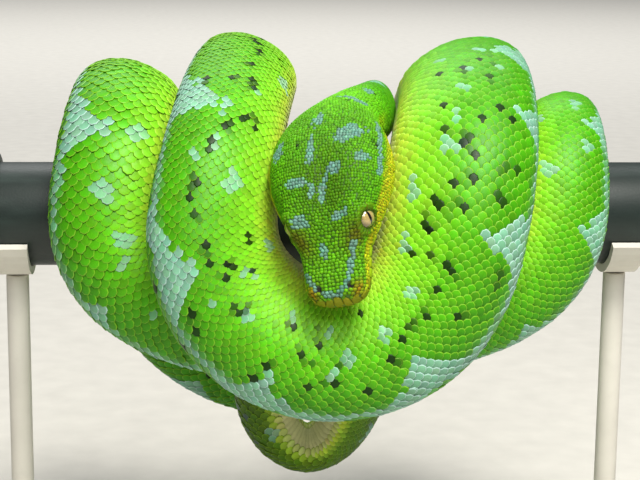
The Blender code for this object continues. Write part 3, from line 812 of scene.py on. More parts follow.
    def at(self, along: Array, turn: Array, rate: Array, ragged: Array,
           strength: float = 0.78) -> Array:
        """The pigment of skin or scales.

        Args:
            along: Distances from the snout, millimetres.
            turn: Turns round the body, radians from the back, within half a turn.
            rate: Millimetres of girth for each radian.
            ragged: Values from -1 to 1 that break up the edges of the marks.
            strength: How fully the pale marks hide the green.

        Returns:
            Rows of linear red, green and blue.
        """
        degrees = np.degrees(turn)
        behind = ease((along - 56.0) / 36.0)[:, None]
        colour = self.head(along, turn) * (1.0 - behind) + self.base(along, turn) * behind
        colour = self.mix(colour, Tone.PALE_BLUE.colour,
                          self.pale(along, turn, rate, ragged) * strength)
        for spot in self.head_spots:
            inside = self.oval(spot, along, turn, rate) < 1.0 + 0.25 * ragged
            colour = self.mix(colour, Tone.BLUE.colour, inside * self.head_strength)
        for stroke in self.strokes:
            inside = self.from_stroke(stroke, along, turn, rate) < 1.0 + 0.2 * ragged
            colour = self.mix(colour, Tone.BLUE.colour, inside * self.head_strength)
        on_body, on_head = self.fleck_radii
        for place, over in self.all_flecks + list(self.head_flecks):
            size = on_body if place > 84.0 else on_head
            gap = np.hypot((along - place) * 0.85, (turn - math.radians(over)) * rate)
            dark = (size * (1.0 + 0.35 * ragged) - gap) / 0.6
            colour = self.mix(colour, Tone.FLECK.colour, np.minimum(dark, 0.94))
        # Painted shade: each nostril's opening is painted near black.
        place, over = self.nostril_place
        opening = np.hypot(along - place, np.radians(np.abs(degrees) - over) * rate)
        colour = self.mix(colour, Tone.NOSTRIL_SHADE.colour, (self.nostril_radius - opening) / 0.2)
        slate = (along > 1150.0) & (np.abs(degrees) < 80.0) & (ragged > 0.55)
        colour[slate] = Tone.SLATE.colour
        return colour


# ---- mesh helpers ----

def new_piece(name: str, mesh: bpy.types.Mesh, material: bpy.types.Material,
              replaces: tuple[str, ...] = ()) -> bpy.types.Object:
    """Put a finished mesh in the scene as a piece of the snake or its stand.

    Args:
        name: The piece's name.
        mesh: Its mesh, in place.
        material: Its finish.
        replaces: CAD nodes that the piece stands for.

    Returns:
        The new object.
    """
    piece = bpy.data.objects.new(name, mesh)
    bpy.context.scene.collection.objects.link(piece)
    mesh.materials.clear()
    mesh.materials.append(material)
    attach(piece, "root")
    if replaces:
        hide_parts(*replaces)
    LOG.info("%s: %d faces", name, len(mesh.polygons))
    return piece


def made_of(made: dict, kind: type) -> list:
    """The vertices or the faces among what an operator made."""
    return [item for item in made["geom"] if isinstance(item, kind)]


def soften(shape: bmesh.types.BMesh, rims: list, width: float, segments: int) -> None:
    """Round some edges of a shape."""
    bmesh.ops.bevel(shape, geom=rims, offset=width, segments=segments, profile=0.5,
                    affect="EDGES", material=-1)


def mesh_from(shape: bmesh.types.BMesh, name: str,
              smooth: float | None = 40.0) -> bpy.types.Mesh:
    """Write a bmesh into a new mesh, outward and smooth up to an angle.

    Args:
        shape: The bmesh, which is freed.
        name: The mesh's name.
        smooth: Largest angle in degrees that is shaded smooth, or None for flat.

    Returns:
        The mesh.
    """
    bmesh.ops.recalc_face_normals(shape, faces=shape.faces)
    mesh = bpy.data.meshes.new(name)
    shape.to_mesh(mesh)
    shape.free()
    if smooth is not None:
        mesh.shade_smooth()
        mesh.set_sharp_from_angle(angle=math.radians(smooth))
    return mesh


def vertex_rows(mesh: bpy.types.Mesh) -> Array:
    """A mesh's vertices as rows."""
    flat = np.empty(len(mesh.vertices) * 3)
    mesh.vertices.foreach_get("co", flat)
    return flat.reshape(-1, 3)


def paint(mesh: bpy.types.Mesh, colours: Array) -> None:
    """Store one linear colour for each vertex."""
    layer = mesh.color_attributes.new(name=PIGMENT, type="FLOAT_COLOR", domain="POINT")
    rows = np.ones((len(colours), 4))
    rows[:, :3] = np.clip(colours, 0.0, 1.0)
    layer.data.foreach_set("color", rows.ravel())


# ---- finishes ----

class Wiring:
    """A node tree with short calls to add nodes and join them."""

    def __init__(self, tree: bpy.types.NodeTree) -> None:
        """Work on one tree."""
        self.tree = tree

    def node(self, kind: str, **values: object) -> bpy.types.Node:
        """Add a node.

        Args:
            kind: Its type, without a prefix of ShaderNode.
            **values: Properties of the node.

        Returns:
            The node.
        """
        full = kind if kind.startswith("NodeGroup") else "ShaderNode" + kind
        made = self.tree.nodes.new(full)
        for key, value in values.items():
            setattr(made, key, value)
        return made

    def feed(self, target: bpy.types.NodeSocket, source: object) -> None:
        """Join an output to an input, or set the input's own value."""
        if isinstance(source, bpy.types.NodeSocket):
            self.tree.links.new(source, target)
        else:
            target.default_value = source

    def maths(self, operation: str, *values: object) -> bpy.types.NodeSocket:
        """The result of a Math node over sockets or numbers."""
        made = self.node("Math", operation=operation)
        for target, value in zip(made.inputs, values):
            self.feed(target, value)
        return made.outputs[0]

    def clamp(self, value: object) -> bpy.types.NodeSocket:
        """A value held between 0 and 1."""
        return self.maths("MINIMUM", self.maths("MAXIMUM", value, 0.0), 1.0)

    def blend(self, share: object, first: object, second: object,
              kind: str = "MIX") -> bpy.types.NodeSocket:
        """A colour Mix of two colours by a share."""
        made = self.node("Mix", data_type="RGBA", blend_type=kind)
        for target, value in zip((made.inputs[0], made.inputs[6], made.inputs[7]),
                                 (share, first, second)):
            self.feed(target, value)
        return made.outputs[2]

    def noise(self, vector: object, scale: float, detail: float = 3.0) -> bpy.types.NodeSocket:
        """Noise over a vector."""
        made = self.node("TexNoise")
        self.feed(made.inputs["Vector"], vector)
        self.feed(made.inputs["Scale"], scale)
        self.feed(made.inputs["Detail"], detail)
        return made.outputs["Fac"]


class EffectGroups:
    """Effects that several finishes share, each a node group made once."""

    def __init__(self) -> None:
        """Make the groups."""
        self.mottle = self.make_mottle()
        self.scuffs = self.make_scuffs()

    @staticmethod
    def begin(name: str, inputs: tuple, outputs: tuple) -> tuple:
        """Start a group with named sockets.

        Args:
            name: The group's name.
            inputs: Pairs of a socket's name and kind.
            outputs: Pairs of a socket's name and kind.

        Returns:
            The tree, its wiring, its inputs and its output node.
        """
        tree = bpy.data.node_groups.new(name, "ShaderNodeTree")
        for way, sockets in (("INPUT", inputs), ("OUTPUT", outputs)):
            for label, kind in sockets:
                tree.interface.new_socket(name=label, in_out=way, socket_type="NodeSocket" + kind)
        wiring = Wiring(tree)
        return tree, wiring, wiring.node("NodeGroupInput").outputs, wiring.node("NodeGroupOutput")

    def make_mottle(self) -> bpy.types.NodeTree:
        """A colour that drifts a little lighter and darker over the surface."""
        tree, wiring, given, result = self.begin(
            "living_mottle", (("Colour", "Color"), ("Grain", "Float"), ("Amount", "Float")),
            (("Colour", "Color"),))
        where = wiring.node("TexCoord").outputs["Object"]
        drift = wiring.maths("SUBTRACT", wiring.noise(where, given["Grain"], 4.0), 0.5)
        drift = wiring.maths("MULTIPLY_ADD", drift, given["Amount"], 1.0)
        tint = wiring.node("CombineColor")
        for socket in tint.inputs[:3]:
            wiring.feed(socket, drift)
        drifted = wiring.blend(1.0, given["Colour"], tint.outputs[0], "MULTIPLY")
        wiring.feed(result.inputs["Colour"], drifted)
        return tree

    def make_scuffs(self) -> bpy.types.NodeTree:
        """A mask of fine handling marks, drawn out along X."""
        tree, wiring, given, result = self.begin(
            "handling_scuffs", (("Size", "Float"), ("Stretch", "Vector")), (("Mask", "Float"),))
        where = wiring.node("Mapping")
        wiring.feed(where.inputs["Vector"], wiring.node("TexCoord").outputs["Object"])
        wiring.feed(where.inputs["Scale"], given["Stretch"])
        fine = wiring.noise(where.outputs[0], given["Size"], 6.0)
        edge = wiring.node("MapRange")
        for label, value in (("Value", fine), ("From Min", 0.52), ("From Max", 0.74)):
            wiring.feed(edge.inputs[label], value)
        wiring.feed(result.inputs["Mask"], edge.outputs["Result"])
        return tree


@dataclass(frozen=True)
class Finish:
    """A Principled surface with its constants set on its own sockets."""

    name: str
    roughness: float
    specular: float = 0.5
    coat: float = 0.0

    def begin(self) -> tuple[bpy.types.Material, Wiring, bpy.types.Node]:
        """Start the material, its wiring and its shader."""
        material = bpy.data.materials.new(self.name)
        material.use_nodes = True
        shader = material.node_tree.nodes["Principled BSDF"]
        for label, value in (("Roughness", self.roughness), ("Specular IOR Level", self.specular),
                             ("Coat Weight", self.coat), ("Coat Roughness", 0.12)):
            shader.inputs[label].default_value = value
        return material, Wiring(material.node_tree), shader

    @staticmethod
    def group(wiring: Wiring, tree: bpy.types.NodeTree, **values: object) -> bpy.types.Node:
        """Place a shared effect with its values."""
        placed = wiring.node("Group", node_tree=tree)
        for label, value in values.items():
            wiring.feed(placed.inputs[label], value)
        return placed

    @staticmethod
    def relief(wiring: Wiring, shader: bpy.types.Node, height: object, distance: float,
               strength: float) -> None:
        """Feed a height through a Bump node to the shader's normal."""
        bump = wiring.node("Bump")
        for label, value in (("Height", height), ("Distance", distance), ("Strength", strength)):
            wiring.feed(bump.inputs[label], value)
        wiring.feed(shader.inputs["Normal"], bump.outputs[0])


@dataclass(frozen=True)
class LivingFinish(Finish):
    """Skin or scale, coloured by the pigment that its mesh carries."""

    grain: float = 900.0
    amount: float = 0.30

    def build(self, groups: EffectGroups) -> bpy.types.Material:
        """Make the material."""
        material, wiring, shader = self.begin()
        pigment = wiring.node("VertexColor", layer_name=PIGMENT).outputs["Color"]
        mottled = self.group(wiring, groups.mottle, Colour=pigment, Grain=self.grain,
                             Amount=self.amount)
        wiring.feed(shader.inputs["Base Color"], mottled.outputs["Colour"])
        where = wiring.node("TexCoord").outputs["Object"]
        fine = wiring.noise(where, 2600.0, 2.0)
        wiring.feed(shader.inputs["Roughness"],
                    wiring.maths("MULTIPLY_ADD", fine, 0.16, self.roughness - 0.08))
        self.relief(wiring, shader, fine, 0.00012, 0.35)
        return material


@dataclass(frozen=True)
class EyeFinish(Finish):
    """A bronze iris with a slit pupil, under a clear wet surface."""

    slit_width: float = 0.15
    slit_length: float = 0.82

    def build(self) -> bpy.types.Material:
        """Make the material from the eye's own axes, stored on its mesh."""
        material, wiring, shader = self.begin()
        axes = wiring.node("Attribute", attribute_name="eye_axes").outputs["Vector"]
        split = wiring.node("SeparateXYZ")
        wiring.feed(split.inputs[0], axes)
        across, along_slit, outward = split.outputs
        radius = wiring.maths("SQRT", wiring.maths(
            "ADD", wiring.maths("MULTIPLY", across, across),
            wiring.maths("MULTIPLY", along_slit, along_slit)))
        grain = wiring.noise(axes, 7.0, 5.0)
        streaks = wiring.node("TexNoise")
        wiring.feed(streaks.inputs["Vector"], axes)
        wiring.feed(streaks.inputs["Scale"], 26.0)
        wiring.feed(streaks.inputs["Distortion"], 0.8)
        bronze = wiring.blend(grain, srgb(186, 164, 92) + (1.0,), srgb(112, 88, 34) + (1.0,))
        bronze = wiring.blend(wiring.maths("MULTIPLY", streaks.outputs["Fac"], 0.5), bronze,
                              srgb(206, 186, 134) + (1.0,))
        rim = wiring.maths("MULTIPLY", wiring.maths("SUBTRACT", radius, 0.54), 2.6)
        bronze = wiring.blend(wiring.clamp(rim), bronze, srgb(52, 40, 20) + (1.0,))
        taper = wiring.maths("DIVIDE", along_slit, self.slit_length)
        taper = wiring.maths("SUBTRACT", 1.0, wiring.maths("MULTIPLY", taper, taper))
        width = wiring.maths("MULTIPLY", wiring.maths("MAXIMUM", taper, 0.0), self.slit_width)
        inside = wiring.maths("SUBTRACT", width, wiring.maths("ABSOLUTE", across))
        slit = wiring.maths("MULTIPLY", wiring.maths("MULTIPLY", inside, 40.0),
                            wiring.maths("GREATER_THAN", outward, 0.0))
        iris = wiring.blend(wiring.clamp(slit), bronze, (0.003, 0.003, 0.002, 1.0))
        wiring.feed(shader.inputs["Base Color"], iris)
        return material


@dataclass(frozen=True)
class PlainFinish(Finish):
    """Plastic or paint: one colour with a drift, fine scuffs and a shallow grain."""

    colour: Triple = (0.5, 0.5, 0.5)
    worn: Triple = (0.6, 0.6, 0.6)
    scuff_size: float = 240.0
    stretch: Triple = (0.25, 1.0, 1.0)
    wear: float = 0.35
    grain_size: float = 1500.0
    grain_depth: float = 0.00006

    def build(self, groups: EffectGroups) -> bpy.types.Material:
        """Make the material."""
        material, wiring, shader = self.begin()
        scuffs = self.group(wiring, groups.scuffs, Size=self.scuff_size, Stretch=self.stretch)
        mask = wiring.maths("MULTIPLY", scuffs.outputs["Mask"], self.wear)
        colour = wiring.blend(mask, self.colour + (1.0,), self.worn + (1.0,))
        mottled = self.group(wiring, groups.mottle, Colour=colour, Grain=70.0, Amount=0.22)
        wiring.feed(shader.inputs["Base Color"], mottled.outputs["Colour"])
        where = wiring.node("TexCoord").outputs["Object"]
        fine = wiring.noise(where, self.grain_size, 3.0)
        rough = wiring.maths("MULTIPLY_ADD", mask, 0.25, self.roughness)
        wiring.feed(shader.inputs["Roughness"], wiring.maths("MULTIPLY_ADD", fine, 0.10, rough))
        self.relief(wiring, shader, fine, self.grain_depth, 0.5)
        return material


# ---- skin ----

@dataclass
class Skin:
    """One closed skin from the front of the snout to the tip of the tail."""

    hide: Hide
    pigment: Pigment
    finish: bpy.types.Material
    columns: int = 128
    fine_end: float = 50.0          # where the head's closest rings end
    tip_length: float = 24.0        # last stretch of the tail, with closer rings
    tip_gap: float = 0.2            # from the last ring to the tip itself
    nose_step: float = 0.4
    head_step: float = 0.55
    neck_step: float = 0.9
    body_step: float = 3.2
    tip_step: float = 1.5
    painted_shade: float = 0.42             # painted shade: share of the pigment that the skin keeps where it shows between the scales

    def stations(self) -> Array:
        """Distances along at which the skin has a ring, four bands' ends among them."""
        hide = self.hide
        whole = hide.length + hide.nose
        bands = [whole * k / 4.0 - hide.nose for k in range(5)]
        tip, end = bands[4] - self.tip_length, bands[4] - self.tip_gap
        edges = [(-hide.nose, 0.0, self.nose_step), (0.0, self.fine_end, self.head_step),
                 (self.fine_end, hide.head_end, self.neck_step),
                 (hide.head_end, bands[1], self.body_step), (bands[1], bands[2], self.body_step),
                 (bands[2], bands[3], self.body_step), (bands[3], tip, self.body_step),
                 (tip, end, self.tip_step)]
        rows = [np.linspace(a, b, max(2, int(math.ceil((b - a) / step)) + 1))[:-1]
                for a, b, step in edges]
        return np.concatenate(rows + [[end]])

    def build(self) -> bpy.types.Object:
        """Wrap a grid to the hide, close it and colour it.

        Returns:
            The skin, which stands for every node of flesh.
        """
        hide = self.hide
        rings = self.stations()
        shape = bmesh.new()
        shape.loops.layers.uv.new(BAKE_MAP)
        bmesh.ops.create_grid(shape, x_segments=len(rings), y_segments=self.columns, size=1.0,
                              calc_uvs=True)
        mesh = bpy.data.meshes.new("hide")
        shape.to_mesh(mesh)
        shape.free()
        flat = vertex_rows(mesh)
        last = len(rings)
        ring = np.rint((flat[:, 0] + 1.0) / 2.0 * last).astype(int)
        column = np.rint((flat[:, 1] + 1.0) / 2.0 * self.columns).astype(int)
        along = np.append(rings, rings[-1])[ring]
        turn = (column / self.columns - 0.5) * 2.0 * math.pi
        points = hide.place(along, turn)
        points[ring == last] = hide.course.place[-1]
        mesh.vertices.foreach_set("co", hide.to_frame(points).ravel())
        self.lay_map(mesh, ring, along, turn)
        rate = self.girth_rate(along)
        draw = np.random.default_rng(5)
        ragged = draw.uniform(-1.0, 1.0, len(along)) * 0.4
        folded = (turn + math.pi) % (2.0 * math.pi) - math.pi
        # Painted shade: the skin takes only a share of its pigment, for the gaps between the
        # scales.
        paint(mesh, self.pigment.at(along, folded, rate, ragged) * self.painted_shade)
        closed = bmesh.new()
        closed.from_mesh(mesh)
        bmesh.ops.remove_doubles(closed, verts=closed.verts, dist=2e-6)
        bmesh.ops.dissolve_degenerate(closed, edges=closed.edges, dist=1e-7)
        bmesh.ops.recalc_face_normals(closed, faces=closed.faces)
        closed.to_mesh(mesh)
        closed.free()
        mesh.shade_smooth()
        flesh = [name for name in frame["nodes"]
                 if name.startswith(("head", "lower_jaw", "neck_", "trunk_", "tail_"))]
        return new_piece("skin", mesh, self.finish, tuple(sorted(flesh)))

    def girth_rate(self, along: Array) -> Array:
        """Millimetres of girth for each radian of turn."""
        half, rise, drop, _ = self.hide.girth.at(np.maximum(along, 0.0))
        return (half + (rise + drop) / 2.0) / 2.0

    def lay_map(self, mesh: bpy.types.Mesh, ring: Array, along: Array, turn: Array) -> None:
        """Unwrap the skin in four bands."""
        corner = np.empty(len(mesh.loops), dtype=np.int32)
        mesh.loops.foreach_get("vertex_index", corner)
        starts = np.empty(len(mesh.polygons), dtype=np.int32)
        mesh.polygons.foreach_get("loop_start", starts)
        face = np.repeat(np.arange(len(starts)), 4)
        hide = self.hide
        low = np.minimum.reduceat(along[corner], starts)
        high = np.maximum.reduceat(along[corner], starts)
        share = ((low + high) / 2.0 + hide.nose) / (hide.length + hide.nose) * 4.0
        band = np.clip(np.floor(share), 0, 3)[face]
        mesh.uv_layers[BAKE_MAP].data.foreach_set(
            "uv", hide.unwrap(along[corner], turn[corner], band).ravel())


# ---- scales ----

@dataclass
class Plate:
    """A small closed plate that is made once and laid many times.

    Its vertices lie in a unit circle: x across, y towards the tail, z out.
    """

    sides: int
    rings: tuple[float, ...]        # radii of the rings inside the rim
    edge: float = 1.0               # radius of the ring that takes the edge's colour
    poke: bool = False              # close the top on a middle point
    corner_push: float = 1.0        # how far the diagonal corners stand out

    def __post_init__(self) -> None:
        """Build the plate with operators and keep it as arrays."""
        shape = bmesh.new()
        made = bmesh.ops.create_circle(shape, cap_ends=True, segments=self.sides, radius=1.0)
        if self.sides == 6:
            bmesh.ops.rotate(shape, verts=made["verts"], cent=(0.0, 0.0, 0.0),
                             matrix=Matrix.Rotation(math.radians(30.0), 3, "Z"))
        under = shape.faces[:]
        top = under
        for radius in self.rings:
            made = bmesh.ops.extrude_face_region(shape, geom=top, use_keep_orig=(top is under))
            for vert in made_of(made, bmesh.types.BMVert):
                vert.co = vert.co.normalized() * radius
                vert.co.z = 0.0
            if top is not under:
                bmesh.ops.delete(shape, geom=[face for face in top if face.is_valid],
                                 context="FACES_ONLY")
            top = made_of(made, bmesh.types.BMFace)
        if self.poke:
            bmesh.ops.poke(shape, faces=top)
        shape.verts.index_update()
        shape.faces.ensure_lookup_table()
        self.points = np.array([vert.co[:2] for vert in shape.verts])
        self.radius = np.hypot(self.points[:, 0], self.points[:, 1])
        for vert, height in zip(shape.verts, 1.0 - self.radius):
            vert.co.z = 0.2 * height
        bottom = [face for face in shape.faces
                  if all(abs(vert.co.length - 1.0) < 1e-3 for vert in face.verts)]
        for face in shape.faces:
            face.normal_update()
            wants_up = face not in bottom
            if (face.normal.z > 0.0) != wants_up:
                face.normal_flip()
        self.corners, self.starts, maps = [], [], []
        for face in shape.faces:
            self.starts.append(len(self.corners))
            small = face in bottom
            for vert in face.verts:
                self.corners.append(vert.index)
                x, y = vert.co.x, vert.co.y
                maps.append((0.90 + 0.085 * x, 0.5 + 0.085 * y) if small
                            else (0.40 + 0.38 * x, 0.5 + 0.46 * y))
        shape.free()
        self.corners = np.array(self.corners)
        self.starts = np.array(self.starts)
        self.map = np.array(maps)
        self.rim = (self.radius > 0.97).astype(float)
        diagonal = np.abs(np.sin(2.0 * np.arctan2(self.points[:, 0], self.points[:, 1])))
        self.points = self.points * (1.0 + (self.corner_push - 1.0) * diagonal)[:, None]


@dataclass
class Bed:
    """Where a set of plates lies: one value or row for each plate."""

    along: Array
    turn: Array
    half_long: Array
    half_wide: Array
    spin: Array
    rate: Array                     # millimetres of girth for each radian, at the plate
    tilt: Array                     # how far the free end stands up, millimetres
    dome: Array
    thick: Array
    colour: Array
    # colour along each plate's edge: painted highlight on body scales, painted shade at the foot of
    # granules, lip plates and eye collar scales, a tenth lighter on scutes
    painted_edge_colour: Array
    patch: float = 0.0028           # size of each plate's patch on the unwrapped skin

    def __len__(self) -> int:
        """The number of plates."""
        return len(self.along)


@dataclass
class Coat:
    """Lays plates over the hide and joins them into pieces."""

    hide: Hide
    finish: bpy.types.Material
    edge_share: float = 0.85        # how fully the edge takes the bed's edge colour, with its painted highlight and painted shade
    painted_root_shade: float = 0.62        # painted shade: share kept at a plate's end that lies under the next one
    painted_side_shade: float = 0.42        # painted shade: share kept by what stands below the edge

    def lay(self, name: str, plate: Plate, bed: Bed, slot: str) -> bpy.types.Object:
        """Lay a plate at every place of a bed, as one mesh.

        Args:
            name: The piece's name.
            plate: The plate.
            bed: Its places.
            slot: The record's material slot.

        Returns:
            The joined piece.
        """
        hide = self.hide
        x, y = plate.points.T
        sine, cosine = np.sin(bed.spin)[:, None], np.cos(bed.spin)[:, None]
        across, length = x * bed.half_wide[:, None], y * bed.half_long[:, None]
        over = across * cosine - length * sine
        down = length * cosine + across * sine
        along = (bed.along[:, None] + down).ravel()
        turn = (bed.turn[:, None] + over / bed.rate[:, None]).ravel()
        along = np.minimum(along, hide.length - 0.15)
        out = np.repeat(hide.tangents(bed.along, bed.turn)[2], len(plate.points), axis=0)
        lift = (bed.tilt[:, None] * (y + 0.95) / 1.95
                + bed.dome[:, None] * (1.0 - plate.radius ** 2)
                - bed.thick[:, None] * plate.rim)
        points = hide.place(along, turn) + out * lift.ravel()[:, None]
        return self.join(name, plate, bed, points, slot)

    def join(self, name: str, plate: Plate, bed: Bed, points: Array,
             slot: str) -> bpy.types.Object:
        """Join copies of a plate whose vertices are placed already.

        Args:
            name: The piece's name.
            plate: The plate.
            bed: Its roots and colours.
            points: Course points, all the vertices of one copy after another.
            slot: The record's material slot; not used.

        Returns:
            The joined piece.
        """
        hide = self.hide
        count, size = len(bed), len(plate.points)
        mesh = bpy.data.meshes.new(name)
        loops, faces = len(plate.corners), len(plate.starts)
        mesh.vertices.add(count * size)
        mesh.loops.add(count * loops)
        mesh.polygons.add(count * faces)
        mesh.vertices.foreach_set("co", hide.to_frame(points).ravel())
        steps = np.arange(count)[:, None]
        corners = (plate.corners + steps * size).ravel()
        starts = (plate.starts + steps * loops).ravel()
        mesh.loops.foreach_set("vertex_index", corners.astype(np.int32))
        mesh.polygons.foreach_set("loop_start", starts.astype(np.int32))
        mesh.update(calc_edges=True)
        root = hide.unwrap(bed.along, (bed.turn + math.pi) % (2.0 * math.pi) - math.pi)
        spread = root[:, None, :] + (plate.map - 0.5) * bed.patch
        layer = mesh.uv_layers.new(name=BAKE_MAP)
        layer.data.foreach_set("uv", spread.ravel())
        paint(mesh, self.plate_colours(plate, bed))
        mesh.shade_smooth()
        mesh.validate()
        return new_piece(name, mesh, self.finish)

    def plate_colours(self, plate: Plate, bed: Bed) -> Array:
        """Colours of every vertex: the plate's own, another along its edge, painted shade below
        that edge and at the end under the next plate.
        """
        length = plate.points[:, 1]
        edge = (np.abs(plate.radius - plate.edge) < 0.03) * np.clip(length * 1.3 + 0.65, 0.0, 1.0)
        share = (edge * self.edge_share)[None, :, None]
        # Painted shade at the plate's root end, and on the rim below a raised edge.
        painted_shade = self.painted_root_shade + (1.0 - self.painted_root_shade) * np.clip(length + 0.75, 0.0, 1.0)
        below = (plate.rim > 0.0) & (plate.edge < 0.97)
        painted_shade = painted_shade * np.where(below, self.painted_side_shade, 1.0)
        colour = bed.colour[:, None, :] * (1.0 - share) + bed.painted_edge_colour[:, None, :] * share
        colour = colour * painted_shade[None, :, None]
        return colour.reshape(-1, 3)


@dataclass
class BodyScales:
    """Overlapping scales of the neck, trunk and tail, with the belly's scutes."""

    hide: Hide
    pigment: Pigment
    coat: Coat
    stretches: tuple[tuple[str, float, float, int, float], ...] = (
        ("neck", 84.0, 205.0, 45, 1.40), ("trunk_a", 205.0, 290.0, 49, 1.50),
        ("trunk_b", 290.0, 415.0, 57, 1.50), ("trunk_c", 415.0, 545.0, 57, 1.45),
        ("trunk_d", 545.0, 700.0, 47, 1.45), ("trunk_e", 700.0, 835.0, 41, 1.40),
        ("trunk_f", 835.0, 1085.0, 37, 1.15), ("tail_a", 1085.0, 1250.0, 31, 1.20),
        ("tail_b", 1250.0, 1412.0, 23, 1.30))
    belly_share: float = 0.145      # of the half girth that a scute's half width takes
    half_length: float = 0.64       # of a scale, for each length of its cell
    half_width: float = 0.92        # this and the next three: for each width of its row
    tilt: float = 0.20
    dome: float = 0.12
    thick: float = 0.07
    seed: int = 21

    def rows(self, start: float, end: float, count: int, long_share: float) -> dict[str, Array]:
        """Places of the scales in one stretch, ring by ring.

        Args:
            start: Distance of the first ring.
            end: Distance of the last ring.
            count: Rows of scales from one side of the belly to the other.
            long_share: Length of a scale's cell for each width of its row.

        Returns:
            Arrays of along, turn, row width, cell length and girth rate.
        """
        found = []
        along, parity = start, 0
        while along < end:
            turns, arcs = self.hide.girth_table(along)
            width = 2.0 * arcs[-1] * (1.0 - self.belly_share) / count
            cell = max(long_share * width, 0.95)
            rows = np.arange(parity, count, 2) - (count - 1) / 2.0
            arc = rows * width
            turn = np.sign(arc) * np.interp(np.abs(arc), arcs, turns)
            slope = np.gradient(arcs, turns)
            rate = np.interp(np.abs(turn), turns, slope)
            found.append(np.stack([np.full(len(arc), along), turn, np.full(len(arc), width),
                                   np.full(len(arc), cell), rate]))
            along += cell / 2.0
            parity = 1 - parity
        names = ("along", "turn", "width", "cell", "rate")
        return dict(zip(names, np.concatenate(found, axis=1)))

    def build(self) -> list[bpy.types.Object]:
        """Lay every stretch and the scutes.

        Returns:
            The joined pieces.
        """
        plate = Plate(8, (0.92, 0.78), edge=0.92, corner_push=0.99)
        draw = np.random.default_rng(self.seed)
        pieces = []
        for name, start, end, count, long_share in self.stretches:
            rows = self.rows(start, end, count, long_share)
            n = len(rows["along"])
            ragged = draw.uniform(-1.0, 1.0, n)
            width, cell = rows["width"], rows["cell"]
            along = rows["along"] + draw.normal(0.0, 0.035, n) * cell
            turn = rows["turn"] + draw.normal(0.0, 0.03, n) * width / rows["rate"]
            colour = self.pigment.at(along, turn, rows["rate"], ragged)
            colour *= np.exp(draw.normal(0.0, 0.07, n))[:, None]
            colour *= np.exp(draw.normal(0.0, 0.05, (n, 3)))
            # Painted highlight: each scale's edge towards its free end is paler, yellow-green, and
            # whitish-blue on the pale marks; dark fleck scales keep their own colour there.
            dark = ease((0.16 - colour[:, 1]) / 0.10)[:, None]
            rim = colour * (0.50 + 0.50 * dark) + Tone.RIM_HIGHLIGHT.colour * 0.50 * (1.0 - dark)
            pale = self.pigment.pale(along, turn, rows["rate"], ragged)
            rim = Pigment.mix(rim, Tone.PALE_RIM_HIGHLIGHT.colour, pale * (1.0 - dark[:, 0]) * 0.9)
            size = 1.0 + draw.normal(0.0, 0.03, n)
            bed = Bed(along, turn, cell * self.half_length * size, width * self.half_width * size,
                      draw.normal(0.0, 0.05, n), rows["rate"],
                      width * self.tilt * np.exp(draw.normal(0.0, 0.18, n)),
                      width * self.dome, width * self.thick, colour, rim)
            pieces.append(self.coat.lay("scales_" + name, plate, bed, "body_scales"))
        pieces.append(self.scutes(draw))
        return pieces

    def scutes(self, draw: np.random.Generator) -> bpy.types.Object:
        """Broad plates across the belly, from the throat to the tail."""
        plate = Plate(16, (0.94, 0.62, 0.32), edge=0.99, poke=True, corner_push=1.16)
        rows = []
        along = 52.0
        while along < self.hide.length - 8.0:
            _, arcs = self.hide.girth_table(along)
            half = arcs[-1] * self.belly_share * 1.12
            cell = max(arcs[-1] * 0.080, 1.2)
            rows.append((along, half, cell, arcs[-1] / math.pi))
            along += cell
        along, half, cell, rate = np.array(rows).T
        n = len(along)
        turn = np.full(n, math.pi)
        colour = self.pigment.at(along, turn - 0.01, rate, np.zeros(n))
        colour *= np.exp(draw.normal(0.0, 0.05, n))[:, None]
        bed = Bed(along, turn, cell * 0.85, half, np.zeros(n), rate, cell * 0.07, cell * 0.03,
                  cell * 0.03, colour, colour * 1.10)
        return self.coat.lay("belly_scutes", plate, bed, "body_scales")


